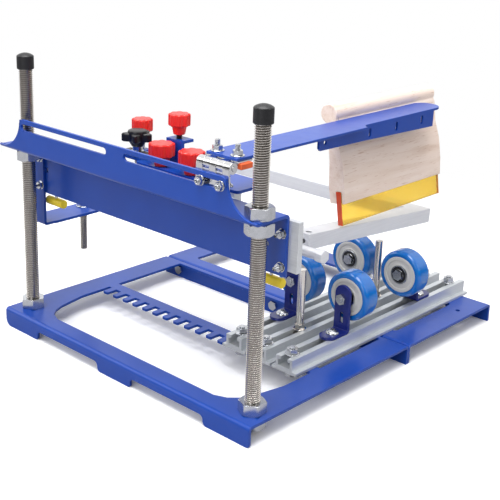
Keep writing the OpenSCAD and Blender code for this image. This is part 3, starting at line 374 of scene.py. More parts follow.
# Each finish: what makes it, and the material slot that it fills
FINISHES = {
    "blue_powder_coat": (blue_powder_coat, "blue_powder_coat"),
    "navy_powder_coat": (navy_powder_coat, "navy_powder_coat"),
    "threaded_stainless": (threaded_stainless, "stainless_thread"),
    "thread_root_painted_shade": (thread_root_painted_shade, "stainless_thread"),
    "zinc_steel": (zinc_steel, "zinc_fasteners"),
    "polished_chrome": (polished_chrome, "hinge_steel"),
    "rail_aluminium": (rail_aluminium, "anodised_aluminium"),
    "slide_aluminium": (slide_aluminium, "anodised_aluminium"),
    "tube_aluminium": (tube_aluminium, "raw_aluminium"),
    "bearing_steel": (bearing_steel, "zinc_fasteners"),
    "black_rubber": (black_rubber, "black_rubber"),
    "black_nylon": (black_nylon, "black_plastic"),
    "red_nylon": (red_nylon, "red_plastic"),
    "yellow_vinyl": (yellow_vinyl, "yellow_plastic"),
    "orange_rubber": (orange_rubber, "orange_rubber"),
    "grey_nylon": (grey_nylon, "grey_nylon"),
    "blue_urethane": (blue_urethane, "blue_urethane"),
    "amber_urethane": (amber_urethane, "amber_urethane"),
    "amber_cut_end": (amber_cut_end, "amber_urethane"),
    "oiled_maple": (oiled_maple, "maple_wood"),
}
made_finishes = {}


def finish(name):
    """The material of that finish, made once."""
    if name not in made_finishes:
        made_finishes[name] = FINISHES[name][0]()
    return made_finishes[name]


# Modelling helpers


def activate(*objects):
    """Selects only these objects, with the first one active."""
    if bpy.context.object and bpy.context.object.mode != "OBJECT":
        bpy.ops.object.mode_set(mode="OBJECT")
    bpy.ops.object.select_all(action="DESELECT")
    for item in objects:
        item.select_set(True)
    bpy.context.view_layer.objects.active = objects[0]


def new_object(name, data):
    """An object of that mesh, lamp or camera, in the scene."""
    piece = bpy.data.objects.new(name, data)
    bpy.context.scene.collection.objects.link(piece)
    return piece


def apply_modifier(piece, name, kind, **settings):
    """Adds a modifier to the piece and applies it."""
    activate(piece)
    modifier = piece.modifiers.new(name, kind)
    for key, value in settings.items():
        setattr(modifier, key, value)
    bpy.ops.object.modifier_apply(modifier=modifier.name)


def smooth(piece, angle):
    """Smooth shading with edges above the angle kept sharp, and flat faces that stay flat."""
    activate(piece)
    bpy.ops.object.shade_smooth_by_angle(angle=math.radians(angle))
    apply_modifier(piece, "flat faces", "WEIGHTED_NORMAL", keep_sharp=True, weight=80)


def finish_piece(piece, body, finish_name, *nodes):
    """Gives the piece its finish, and has it ride on its body in place of the CAD nodes."""
    if not piece.data.materials:
        piece.data.materials.append(finish(finish_name))
    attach(piece, body)
    if nodes:
        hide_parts(*nodes)
    return piece


def turned(name, profile, steps, closed=True):
    """A body turned about z from its profile of (radius, height) points in millimetres."""
    mesh = bpy.data.meshes.new(name)
    points = [(r * MM, 0, z * MM) for r, z in profile]
    edges = [(i, i + 1) for i in range(len(points) - 1)]
    if closed:
        edges.append((len(points) - 1, 0))
    mesh.from_pydata(points, edges, [])
    piece = new_object(name, mesh)
    activate(piece)
    bpy.ops.object.mode_set(mode="EDIT")
    bpy.ops.mesh.select_all(action="SELECT")
    bpy.ops.mesh.spin(steps=steps, angle=math.tau, center=(0, 0, 0), axis=(0, 0, 1))
    bpy.ops.mesh.select_all(action="SELECT")
    bpy.ops.mesh.remove_doubles(threshold=MERGE)
    bpy.ops.mesh.normals_make_consistent(inside=False)
    bpy.ops.object.mode_set(mode="OBJECT")
    return piece


def bevel_rims(piece, width, segments):
    """Bevels the rims of a piece's two flat ends, in millimetres."""
    activate(piece)
    bpy.ops.object.mode_set(mode="EDIT")
    bpy.ops.mesh.select_mode(type="EDGE")
    bpy.ops.mesh.select_all(action="DESELECT")
    bpy.ops.object.mode_set(mode="OBJECT")
    for edge in piece.data.edges:
        a, b = (piece.data.vertices[i].co for i in edge.vertices)
        edge.select = abs(a.z - b.z) < MERGE / 10
    bpy.ops.object.mode_set(mode="EDIT")
    bpy.ops.mesh.bevel(offset=width * MM, segments=segments, affect="EDGES", clamp_overlap=True)
    bpy.ops.object.mode_set(mode="OBJECT")


def cylinder(name, radius, low, high, sides=40, bevel=0.0):
    """A cylinder along z in millimetres, with its two rims bevelled when a bevel is given."""
    bpy.ops.object.select_all(action="DESELECT")
    bpy.ops.mesh.primitive_cylinder_add(
        vertices=sides, radius=radius * MM, depth=(high - low) * MM, location=(0, 0, (high + low) / 2 * MM)
    )
    piece = bpy.context.object
    piece.name = name
    bpy.ops.object.transform_apply(location=True, rotation=True, scale=True)
    if bevel:
        bevel_rims(piece, bevel, 2)
    return piece


def combine(piece, other, operation):
    """Boolean of two closed meshes; the other one goes."""
    apply_modifier(piece, "cut", "BOOLEAN", operation=operation, object=other, solver="EXACT")
    bpy.data.objects.remove(other)
    return piece


def hexagon(name, across_flats, low, high, bore=0.0):
    """A hexagon head or nut with its corners turned off, in millimetres."""
    corner = across_flats / 2 / math.cos(math.radians(30))
    piece = cylinder(name, corner, low, high, sides=6)
    piece.data.transform(Matrix.Rotation(math.radians(30), 4, "Z"))
    chamfer = (corner - across_flats / 2) * 1.1
    rise = chamfer * 0.6
    past_face, past_corner = 0.001, 0.02
    profile = [
        (0, low - past_face),
        (corner - chamfer, low - past_face),
        (corner + past_corner, low + rise),
        (corner + past_corner, high - rise),
        (corner - chamfer, high + past_face),
        (0, high + past_face),
    ]
    combine(piece, turned("rounding", profile, 48, closed=False), "INTERSECT")
    if bore:
        combine(piece, cylinder("bore", bore, low - 1, high + 1), "DIFFERENCE")
    return piece


# The depth of a thread as a share of its pitch
THREAD_DEPTH = 0.54


def thread(name, radius, low, high, pitch, sides):
    """A threaded rod along z in millimetres, with its helix cut flat at both ends."""
    turns = int((high - low) / pitch) + 3
    root, crest = radius - THREAD_DEPTH * pitch, radius
    middle = (root + crest) / 2
    ridge = [(root, 0.1), (middle, 0.26), (crest, 0.42), (crest, 0.58)]
    ridge += [(middle, 0.74), (root, 0.9), (root, 1.1)]
    points = [(r * MM, 0, (low + (z - 1.5) * pitch) * MM) for r, z in ridge]
    mesh = bpy.data.meshes.new(name)
    mesh.from_pydata(points, [(i, i + 1) for i in range(len(points) - 1)], [])
    piece = new_object(name, mesh)
    apply_modifier(
        piece,
        "helix",
        "SCREW",
        axis="Z",
        angle=math.tau,
        screw_offset=pitch * MM,
        iterations=turns,
        steps=sides,
        render_steps=sides,
        use_merge_vertices=True,
        merge_threshold=MERGE,
        use_smooth_shade=False,
    )
    activate(piece)
    bpy.ops.object.mode_set(mode="EDIT")
    for height, direction in ((low, -1), (high, 1)):
        bpy.ops.mesh.select_all(action="SELECT")
        bpy.ops.mesh.bisect(
            plane_co=(0, 0, height * MM), plane_no=(0, 0, direction), use_fill=True, clear_outer=True
        )
    bpy.ops.mesh.select_all(action="SELECT")
    bpy.ops.mesh.remove_doubles(threshold=MERGE)
    bpy.ops.mesh.normals_make_consistent(inside=False)
    bpy.ops.object.mode_set(mode="OBJECT")
    return piece


def washer(name, radius, low, high, bore):
    """A washer with rounded rims, in millimetres."""
    edge = min(0.25, (high - low) / 4)
    return turned(
        name,
        [
            (bore, low),
            (radius - edge, low),
            (radius, low + edge),
            (radius, high - edge),
            (radius - edge, high),
            (bore, high),
        ],
        40,
    )


def button_head(name, radius, low, high):
    """A domed screw head with a hexagon socket, in millimetres."""
    rise = high - low
    arc = [
        (radius * math.cos(math.radians(a)) ** 0.9, low + rise * math.sin(math.radians(a)) ** 1.1)
        for a in (0, 12, 26, 40, 54, 66)
    ]
    profile = [(0, low), (radius * 0.96, low), *arc, (radius * 0.42, high), (0, high)]
    socket = cylinder("socket", radius * 0.36, high - rise * 0.65, high + 1, 6)
    return combine(turned(name, profile, 40, closed=False), socket, "DIFFERENCE")


ITEM_MAKERS = {
    "hexagon": hexagon,
    "rod": cylinder,
    "thread": thread,
    "washer": washer,
    "button": button_head,
}
item_meshes = {}


def item(kind, *sizes):
    """The mesh of a fastener's item, modelled once for each size."""
    key = (kind, *sizes)
    if key not in item_meshes:
        piece = ITEM_MAKERS[kind](kind, *sizes)
        smooth(piece, 32)
        item_meshes[key] = piece.data
        bpy.data.objects.remove(piece)
    return item_meshes[key].copy()


def along(direction, point, turn=0.0):
    """The place of a shape drawn along z, at a point in millimetres."""
    turned_to = Vector(direction).to_track_quat("Z", "Y").to_matrix().to_4x4()
    return Matrix.Translation(Vector(point) * MM) @ turned_to @ Matrix.Rotation(math.radians(turn), 4, "Z")


def fasteners(name, body, finish_name, nodes, places, items):
    """One piece of like fasteners: each place holds a copy of every item."""
    parts = []
    for place in places:
        for kind, *sizes in items:
            part = new_object("item", item(kind, *sizes))
            part.data.transform(place)
            parts.append(part)
    activate(*parts)
    bpy.ops.object.join()
    parts[0].name = name
    parts[0].data.materials.clear()
    return finish_piece(parts[0], body, finish_name, *nodes)


def edged_copy(node, name, body, finish_name, radius_mm, segments=2):
    """A copy of a CAD node with its sharp edges rounded, as a finished edge catches the light."""
    piece = new_object(name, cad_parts[node].data.copy())
    piece.data.materials.clear()
    activate(piece)
    if piece.data.has_custom_normals:
        bpy.ops.mesh.customdata_custom_splitnormals_clear()
    bpy.ops.object.mode_set(mode="EDIT")
    bpy.ops.mesh.select_all(action="SELECT")
    bpy.ops.mesh.remove_doubles(threshold=2 * MERGE)
    bpy.ops.mesh.dissolve_limited(angle_limit=math.radians(0.3))
    bpy.ops.object.mode_set(mode="OBJECT")
    apply_modifier(
        piece,
        "edges",
        "BEVEL",
        width=radius_mm * MM,
        segments=segments,
        limit_method="ANGLE",
        angle_limit=math.radians(40),
        use_clamp_overlap=False,
        miter_outer="MITER_ARC",
    )
    smooth(piece, 33)
    return finish_piece(piece, body, finish_name, node)


# Settings


def colour(name, description, hex_value):
    """A property that holds a colour, with its default as an sRGB hex value."""
    return bpy.props.FloatVectorProperty(
        name=name, description=description, subtype="COLOR", size=4, min=0, max=1, default=srgb(hex_value)
    )


class PRESS_PG_colours(bpy.types.PropertyGroup):
    """The coloured finishes, each with the two tones that it varies between."""

    coat_dark: colour("Coat, dark", "Dark tone of the coated sheet", "#0c3c98")
    coat_light: colour("Coat, light", "Light tone of the coated sheet", "#1047aa")
    bracket_dark: colour("Brackets, dark", "Dark tone of the wheel brackets", "#141d63")
    bracket_light: colour("Brackets, light", "Light tone of the wheel brackets", "#1b2a7c")
    knob_dark: colour("Knobs, dark", "Dark tone of the lobed knobs", "#e0241d")
    knob_light: colour("Knobs, light", "Light tone of the lobed knobs", "#ee322a")
    tyre_dark: colour("Tyres, dark", "Dark tone of the wheels' tyres", "#0560b4")
    tyre_light: colour("Tyres, light", "Light tone of the wheels' tyres", "#0a76cc")


class PRESS_PG_details(bpy.types.PropertyGroup):
    """Sizes of the details that the looks add to the CAD solids."""

    sheet_edge: bpy.props.FloatProperty(
        name="Sheet edge", description="Rounding of coated edges", default=0.45 * MM, unit="LENGTH"
    )
    machined_edge: bpy.props.FloatProperty(
        name="Machined edge", description="Rounding of sawn and milled edges", default=0.3 * MM, unit="LENGTH"
    )
    post_pitch: bpy.props.FloatProperty(
        name="Post thread", description="Rise of the posts' thread in a turn", default=2 * MM, unit="LENGTH"
    )
    knob_rim: bpy.props.FloatProperty(
        name="Knob rim", description="Rounding of the knobs' rims", default=1.6 * MM, unit="LENGTH"
    )


class PRESS_PG_stage(bpy.types.PropertyGroup):
    """The floor, the lamps and the camera."""

    camera_place: bpy.props.FloatVectorProperty(
        name="Camera",
        description="Place of the camera",
        size=3,
        subtype="TRANSLATION",
        default=(0.675, -0.5705, 0.451),
    )
    camera_yaw: bpy.props.FloatProperty(
        name="Yaw", description="Turn of the camera left of +Y", subtype="ANGLE", default=math.radians(43.8)
    )
    camera_pitch: bpy.props.FloatProperty(
        name="Pitch", description="Tilt below level", subtype="ANGLE", default=math.radians(17.9)
    )
    camera_roll: bpy.props.FloatProperty(
        name="Roll", description="Roll of the camera", subtype="ANGLE", default=math.radians(1.44)
    )
    focal_pixels: bpy.props.FloatProperty(
        name="Focal length", description="Focal length in pixels of a 500 pixel frame", default=1020
    )
    shift: bpy.props.FloatVectorProperty(
        name="Shift", description="Shift of the lens", size=2, default=(0.07, -0.07)
    )


# Each wheel's middle in x and its front face in y, in millimetres
WHEELS = {1: (63, 189), 2: (63, 279), 3: (127, 189), 4: (127, 279)}
WHEEL_WIDTH, AXLE_Z = 22, 70

# Coated sheet, extrusions and plain pieces that keep their CAD shape, with finished edges
SHEET = {
    "front_base_frame": "base",
    "rear_base_frame": "base",
    "bridge_beam": "bridge",
    "left_bracket": "bridge",
    "knob_bracket": "carriage",
    "squeegee_arm": "arm",
    "carriage_plate": "carriage",
    "holder_arms": "carriage",
}
MACHINED = {
    "track_rails": ("base", "rail_aluminium"),
    "slide_rail": ("bridge", "slide_aluminium"),
    "carriage_block": ("carriage", "slide_aluminium"),
    "frame_clamps": ("screen", "tube_aluminium"),
    "bumper_mounts": ("bridge", "zinc_steel"),
    "hinge_fixed_leaf": ("hinge_base", "polished_chrome"),
    "hinge_moving_leaf": ("arm", "polished_chrome"),
    "hinge_pin": ("hinge_base", "polished_chrome"),
}
SOFT_EDGED = {
    "post_caps": ("base", "black_rubber", 0.8),
    "slide_bumpers": ("bridge", "yellow_vinyl", 0.9),
    "lock_block": ("carriage", "black_nylon", 0.8),
    "rubber_pad": ("arm", "orange_rubber", 0.7),
    "screen_frame": ("screen", "tube_aluminium", 0.7),
    "tilt_rod": ("carriage", "tube_aluminium", 0.5),
}


class PRESS_OT_sheet_metal(bpy.types.Operator):
    """Rounds and coats the folded sheet pieces"""

    bl_idname = "press.sheet_metal"
    bl_label = "Folded sheet"

    def execute(self, context):
        edge = context.scene.press_details.sheet_edge / MM
        for node, body in SHEET.items():
            edged_copy(node, f"{node}_coated", body, "blue_powder_coat", edge)
        for k in WHEELS:
            node = f"wheel_bracket_{k}"
            edged_copy(node, f"{node}_coated", f"bracket_{k}", "navy_powder_coat", edge)
        return {"FINISHED"}


class PRESS_OT_machined(bpy.types.Operator):
    """Finishes the extrusions, the hinge and the other machined pieces"""

    bl_idname = "press.machined"
    bl_label = "Extrusions and hinge"

    def execute(self, context):
        edge = context.scene.press_details.machined_edge / MM
        for node, (body, finish_name) in MACHINED.items():
            edged_copy(node, f"{node}_finished", body, finish_name, edge)
        for node, (body, finish_name, radius) in SOFT_EDGED.items():
            edged_copy(node, f"{node}_finished", body, finish_name, radius, 3)
        return {"FINISHED"}


class PRESS_OT_posts(bpy.types.Operator):
    """Cuts the threads of the two posts and of the levelling stud"""

    bl_idname = "press.posts"
    bl_label = "Threaded posts"

    def execute(self, context):
        pitch = context.scene.press_details.post_pitch / MM
        for node, body, rise in (
            ("left_post", "base", pitch),
            ("right_post", "base", pitch),
            ("levelling_stud", "levelling_stud", 1.0),
        ):
            low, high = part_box(node)
            middle = (low + high) / 2 / MM
            length = (high.z - low.z) / MM
            place = along(Z_AXIS, (middle.x, middle.y, low.z / MM))
            radius = (high.x - low.x) / 2 / MM
            sides = 40 if radius > 5 else 24
            post = fasteners(
                f"{node}_thread",
                body,
                "threaded_stainless",
                [node],
                [place],
                [("thread", radius, 0, length, rise, sides)],
            )
            # A second material: painted shade for the thread's grooves
            post.data.materials.append(finish("thread_root_painted_shade"))
            half_depth = THREAD_DEPTH / 2 * rise
            # The root faces take the painted shade; the rod's flat ends stay bright
            for face in post.data.polygons:
                offset = face.center - middle * MM
                if abs(face.normal.z) < 0.99 and offset.xy.length < (radius - half_depth) * MM:
                    face.material_index = 1
        return {"FINISHED"}


class Screw(NamedTuple):
    """A metric size: its rod's radius, thread pitch, width across flats and facets, in millimetres."""

    radius: float
    pitch: float
    flats: float
    facets: int


M4, M5, M6 = Screw(2, 0.8, 7, 16), Screw(2.5, 1, 8, 20), Screw(3, 1, 10, 20)


def nut(screw, low, high):
    """A nut or hexagon head, from one height to the other along the screw."""
    return "hexagon", screw.flats, low, high


def threaded(screw, low, high):
    return "thread", screw.radius, low, high, screw.pitch, screw.facets


def shank(screw, low, high):
    return "rod", screw.radius, low, high, 24


def flat_washer(screw, radius, low, high):
    return "washer", radius, low, high, screw.radius


def zinc_screws(node, body, places, items):
    """The zinc-plated screws that stand for a CAD node. Each place is the face that a screw seats on."""
    fasteners(f"{node}_turned", body, "zinc_steel", [node], places, items)


def post_nuts():
    """Nuts that clamp the base and the bridge on the two posts, each turned as in the photograph."""
    post_x, post_y = 157.5, 21.5
    flats, height, bore = 22, 11, 7
    for node, body, heights in (("base_nuts", "base", (20, 6)), ("bridge_nuts", "bridge", (195.5, 181.5))):
        posts = ((-post_x, 23), (post_x, 36))
        places = [along(Z_AXIS, (x, post_y, z), turn) for x, turn in posts for z in heights]
        zinc_screws(node, body, places, [("hexagon", flats, 0, height, bore)])


def rail_screws():
    """A screw with its washer and nuts at both ends of each rail."""
    rail_top, end_ys = 35, (110, 380.5)
    places = [along(Z_AXIS, (x, y, rail_top), 17 * x) for x in (63, 95, 127) for y in end_ys]
    items = [flat_washer(M6, 7, 0, 1.2), nut(M6, 1.2, 6.2), threaded(M6, -18, 7.7), nut(M6, -22, -18)]
    zinc_screws("rail_screws", "base", places, items)


def base_joint_bolts():
    """Bolts through the flanges where the two base frames meet."""
    flange_y, bolt_z = 234.5, 10
    places = [along(Y_AXIS, (x, flange_y, bolt_z), 11) for x in (-150, 0, 150)]
    zinc_screws("base_joint_bolts", "base", places, [nut(M6, -7, -3), threaded(M6, -3, 11), nut(M6, 3, 8)])


def bridge_screws():
    """Screws that hold the slide behind the bridge's web, two at each end."""
    ends = ((-166, 42.5), (162, 45.5))
    places = [along(Y_AXIS, (x, y, z), 13) for x, y in ends for z in (148.5, 178)]
    items = [nut(M4, -4.1, -0.8), flat_washer(M4, 4.6, -0.8, 0), threaded(M4, -8.5, 3)]
    zinc_screws("bridge_screws", "bridge", places, items)


def levelling_nuts():
    """The washer and the two nuts that hold the levelling stud in the left bracket."""
    stud_x, stud_y, ledge_top = -183, 111.5, 107
    flats, bore = 13, 4.1
    items = [("washer", 8, 0, 1.2, bore)]
    items += [("hexagon", flats, low, high, bore) for low, high in ((1.2, 7.7), (-9.5, -3))]
    zinc_screws("levelling_nuts", "bridge", [along(Z_AXIS, (stud_x, stud_y, ledge_top))], items)


def hinge_leaf_bolts():
    """Bolts that clamp the hinge's fixed leaf on the bridge's front plate."""
    plate_front, leaf_z = 6, 219.25
    places = [along(-Y_AXIS, (x, plate_front, leaf_z), 9) for x in (105, 128)]
    items = [flat_washer(M4, 4.5, 0, 1), nut(M4, 1, 4.5), threaded(M4, -5.1, 6), ("button", 3.9, -8, -5.1)]
    zinc_screws("hinge_leaf_bolts", "hinge_base", places, items)


def arm_screws():
    """The two long screws through the arm's root and the rubber pad."""
    root_y, arm_top = 27, 240.5
    places = [along(Z_AXIS, (x, root_y, arm_top), 25) for x in (103, 126)]
    items = [flat_washer(M5, 6, 0, 1), nut(M5, 1, 5), threaded(M5, -4.5, 10), nut(M5, -8, -4.5)]
    zinc_screws("arm_screws", "arm", places, items)


def squeegee_bolts():
    """Bolts through the arm's flanges and the handle, which lean with the arm."""
    lean = Matrix.Rotation(math.radians(-8.8), 4, "Y")
    corner = Matrix.Translation(Vector((97, 0, 238)) * MM)
    bolt_depth = -11
    places = [corner @ lean @ along(X_AXIS, (0, y, bolt_depth)) for y in (211.5, 255.5, 299.5)]
    items = [("button", 4, -15.3, -12.5), shank(M4, -12.5, 2.8), nut(M4, 2.8, 6), threaded(M4, 2.8, 25)]
    zinc_screws("squeegee_bolts", "squeegee", places, items)


def carriage_screws():
    """Button screws that hold the carriage's plate on its block."""
    screw_y, plate_top = 58.4, 200
    places = [along(Z_AXIS, (x, screw_y, plate_top)) for x in (64, 88)]
    zinc_screws("carriage_screws", "carriage", places, [("button", 4, 0, 2.8), shank(M4, -14, 0)])


def stop_pin(k):
    """A pin on the middle rail, with its nut, washer and slot nut."""
    rail_x, rail_top = 95, 35
    node = f"stop_pin_{k}"
    low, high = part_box(node)
    place = along(Z_AXIS, (rail_x, (low.y + high.y) / 2 / MM, rail_top), 12)
    items = [
        flat_washer(M6, 6.5, 0, 1.2),
        ("hexagon", 9.5, 1.2, 6.2),
        threaded(M6, -8, 3),
        ("rod", 4, 6, 63, 40, 0.5),
        ("hexagon", 12, -9.2, -4.2),
    ]
    fasteners(f"{node}_turned", node, "threaded_stainless", [node], [place], items)


def wheel_screws(k):
    """A wheel's axle bolt, and the button screw that clamps its bracket on the rail."""
    x, y = WHEELS[k]
    wheel_gap, clamp_back, foot_top = 5.5, 13, 38
    front = k % 2 == 1
    way = 1 if front else -1
    outer = y - wheel_gap if front else y + WHEEL_WIDTH + wheel_gap
    axle = [
        threaded(M6, -4.8, 0),
        ("rod", M6.radius, 0, 31, 32, 0.3),
        ("hexagon", M6.flats, -4, 0, 2.9),
        flat_washer(M6, 5, 3, 5.3),
        nut(M6, 27.7, 30.7),
    ]
    place = along(Y_AXIS if front else -Y_AXIS, (x, outer, AXLE_Z), 12 * k)
    fasteners(f"axle_bolt_{k}", f"bracket_{k}", "zinc_steel", [], [place], axle)
    clamp = [("button", 6.6, 0, 3.6), shank(M6, -12, 0), ("hexagon", 12, -12.2, -7.2)]
    place = along(Z_AXIS, (x, outer - way * clamp_back, foot_top), 20)
    nodes = [f"bracket_bolts_{k}"]
    fasteners(f"rail_clamp_screw_{k}", f"bracket_{k}", "zinc_steel", nodes, [place], clamp)


class PRESS_OT_fasteners(bpy.types.Operator):
    """Models the nuts, bolts, washers and screws"""

    bl_idname = "press.fasteners"
    bl_label = "Nuts and bolts"

    def execute(self, context):
        post_nuts()
        rail_screws()
        base_joint_bolts()
        bridge_screws()
        levelling_nuts()
        hinge_leaf_bolts()
        arm_screws()
        squeegee_bolts()
        carriage_screws()
        for k in (1, 2):
            stop_pin(k)
        for k in WHEELS:
            wheel_screws(k)
        return {"FINISHED"}


def lobed(name, diameter, height, lobes, groove, rim, sharpness):
    """A lobed knob head along z in millimetres: its waves go in by a share of the radius."""
    per_lobe = 12
    piece = cylinder(name, diameter / 2, 0, height, lobes * per_lobe)
    for vertex in piece.data.vertices:
        angle = math.atan2(vertex.co.y, vertex.co.x)
        wave = (1 - math.cos(lobes * angle)) / 2
        vertex.co.xy *= 1 - groove * wave**sharpness
    bevel_rims(piece, rim, 4)
    smooth(piece, 40)
    return piece


def knob_core(name, profile):
    """A turned part of a knob, on its axis."""
    piece = turned(name, profile, 48, closed=False)
    smooth(piece, 40)
    return piece


def placed(piece, name, place, body, finish_name, *nodes):
    """Names the piece, moves its mesh to a point in millimetres and finishes it."""
    piece.name = name
    piece.data.transform(Matrix.Translation(Vector(place) * MM))
    piece.data.materials.clear()
    return finish_piece(piece, body, finish_name, *nodes)


# Each red knob's diameter, head height, skirt height, and the place of the skirt's foot
RED_KNOBS = {
    "left_red_knob": (25, 13, 9, (-1, 60.5, 200.3)),
    "right_red_knob": (25, 13, 9, (39, 60.5, 200.3)),
    "tall_red_knob": (21, 12, 8, (2, 80, 228)),
    "rear_red_knob": (21, 13, 4, (-61, 90, 214)),
}


def red_knob(name, rim):
    """A red knob: eight lobes over a flared skirt, on a threaded stud."""
    diameter, head_height, skirt_height, place = RED_KNOBS[name]
    neck = diameter * 0.27
    sunk = 0.9
    head = lobed("head", diameter, head_height, lobes=8, groove=0.13, rim=rim, sharpness=1.6)
    head.data.transform(Matrix.Translation((0, 0, skirt_height * MM)))
    skirt = [
        (0, 0),
        (neck - 0.6, 0),
        (neck, 0.5),
        (neck + 0.5, skirt_height * 0.35),
        (neck + 1.1, skirt_height * 0.8),
        (neck + 2.2, skirt_height + sunk),
        (0, skirt_height + sunk),
    ]
    activate(head, knob_core("skirt", skirt))
    bpy.ops.object.join()
    placed(head, f"{name}_moulded", place, name, "red_nylon", name)
    x, y, foot = place
    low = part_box(name)[0].z / MM
    stud_in_knob = 1.5
    stud = new_object("stud", item(*threaded(M6, 0, foot - low + stud_in_knob)))
    stud_finish = "black_nylon" if name == "tall_red_knob" else "zinc_steel"
    placed(stud, f"{name}_stud", (x, y, low), name, stud_finish)


def star_knob(rim):
    """The black star knob: five lobes round a turned hub, with a ferrule and a threaded shank below."""
    x, y, body = -41, 66, "star_knob"
    head_z, ferrule_z, shank_z, shank_length = 215.6, 204.8, 194, 18
    star = lobed("star", 31, 8.4, lobes=5, groove=0.42, rim=rim, sharpness=0.75)
    hub = [(0, -5), (5.4, -5), (6, -4.4), (9.6, 1.5), (9.6, 9), (9, 10.4), (7.6, 11), (0, 11.2)]
    activate(star, knob_core("star hub", hub))
    bpy.ops.object.join()
    star.data.transform(Matrix.Rotation(math.radians(20), 4, "Z"))
    placed(star, f"{body}_moulded", (x, y, head_z), body, "black_nylon", body)
    ferrule = knob_core("ferrule", [(0, 0), (5.6, 0), (6, 0.4), (6, 1.6), (5, 2.2), (5, 6.2), (0, 6.2)])
    placed(ferrule, f"{body}_ferrule", (x, y, ferrule_z), body, "zinc_steel")
    rod = new_object("shank", item(*threaded(M6, 0, shank_length)))
    placed(rod, f"{body}_shank", (x, y, shank_z), body, "zinc_steel")


class PRESS_OT_knobs(bpy.types.Operator):
    """Models the red lobed knobs and the black star knob with its ferrule"""

    bl_idname = "press.knobs"
    bl_label = "Knobs"

    def execute(self, context):
        rim = context.scene.press_details.knob_rim / MM
        for name in RED_KNOBS:
            red_knob(name, rim)
        star_knob(rim)
        return {"FINISHED"}


# Half of the outline of each part of a wheel: (radius, depth from the wheel's front face)
TYRE_HALF = [(19, 1.6), (19.6, 1.1), (21.4, 1.0), (22.7, 1.4), (23.8, 2.2), (24.7, 3.5), (25, 5.2)]
HUB_HALF = [(3.4, 11), (3.4, 2.4), (10.1, 2.4), (10.1, 0.9), (11.2, 0.8), (11.8, 1.3), (15.2, 1.7)]
HUB_HALF += [(16, 0.8), (18.4, 0.8), (19, 1.2)]
BEARING_HALF = [(3.15, 11), (3.15, 0.3), (3.4, 0), (5.4, 0), (5.7, 0.3), (5.7, 2), (8.2, 2), (8.2, 0.5)]
BEARING_HALF += [(8.5, 0.05), (9.6, 0.05), (10, 0.4)]
SEAL_HALF = [(5.7, 11), (5.7, 1.1), (8.2, 1.1)]


def wheel_part(kind, k, half, steps, finish_name, *nodes):
    """A turned part of a wheel. An outline that starts on the wheel's middle is mirrored from there."""
    x, y = WHEELS[k]
    other_half = [(r, WHEEL_WIDTH - depth) for r, depth in reversed(half)]
    if half[0][1] == WHEEL_WIDTH / 2:
        other_half.pop()
    piece = turned(f"wheel_{kind}_{k}_turned", half + other_half, steps)
    smooth(piece, 30)
    piece.data.transform(along(Y_AXIS, (x, y, AXLE_Z), 15 * k))
    finish_piece(piece, f"wheel_{k}", finish_name, *nodes)


class PRESS_OT_wheels(bpy.types.Operator):
    """Casts the wheels' tyres, and models their hubs and bearings"""

    bl_idname = "press.wheels"
    bl_label = "Wheels"

    def execute(self, context):
        for k in WHEELS:
            wheel_part("tyre", k, TYRE_HALF, 96, "blue_urethane", f"wheel_tyre_{k}")
            wheel_part("hub", k, HUB_HALF, 64, "grey_nylon", f"wheel_hub_{k}")
            wheel_part("bearing", k, BEARING_HALF, 64, "bearing_steel")
            wheel_part("seal", k, SEAL_HALF, 64, "black_rubber")
        return {"FINISHED"}


class PRESS_OT_squeegee(bpy.types.Operator):
    """Finishes the wooden handle and the amber blade"""

    bl_idname = "press.squeegee"
    bl_label = "Squeegee"

    def execute(self, context):
        edged_copy("squeegee_handle", "squeegee_handle_oiled", "squeegee", "oiled_maple", 0.9, 3)
        blade = edged_copy("squeegee_blade", "squeegee_blade_cast", "squeegee", "amber_urethane", 0.12, 1)
        blade.data.materials.append(finish("amber_cut_end"))
        for face in blade.data.polygons:
            if abs(face.normal.y) > 0.5:
                face.material_index = 1
        return {"FINISHED"}


PICTURE_WHITE = (1.16, 1.16, 1.17, 1)
FLOOR_GREY, MIRRORED_GREY = (0.42, 0.42, 0.44, 1), (0.5, 0.5, 0.52, 1)
FLOOR_SIZE, FADE_START, FADE_END = 14, 0.5, 0.9
# Name, place, size in metres and power in watts
SOFTBOXES = (
    ("overhead_softbox", (0.1, -0.1, 1.3), 1.0, 19.0),
    ("left_softbox", (-1.3, -0.7, 0.9), 1.0, 5.0),
    ("front_softbox", (0.5, -1.7, 0.9), 1.0, 11.0),
    ("right_softbox", (1.5, 0.3, 0.9), 0.8, 4.0),
)
LAMPS_AIM = (0, 0.15, 0.1)
SENSOR_WIDTH, PICTURE_PIXELS = 36, 500


def in_picture(tree):
    """The rays' kinds, and whether a ray shows straight in the picture or through a clear piece."""
    rays = add_node(tree, "ShaderNodeLightPath").outputs
    straight, through = rays["Is Camera Ray"], rays["Is Transmission Ray"]
    seen = add_node(tree, "ShaderNodeMath", {"operation": "MAXIMUM"}, _0=straight, _1=through)
    return rays, seen.outputs["Value"]


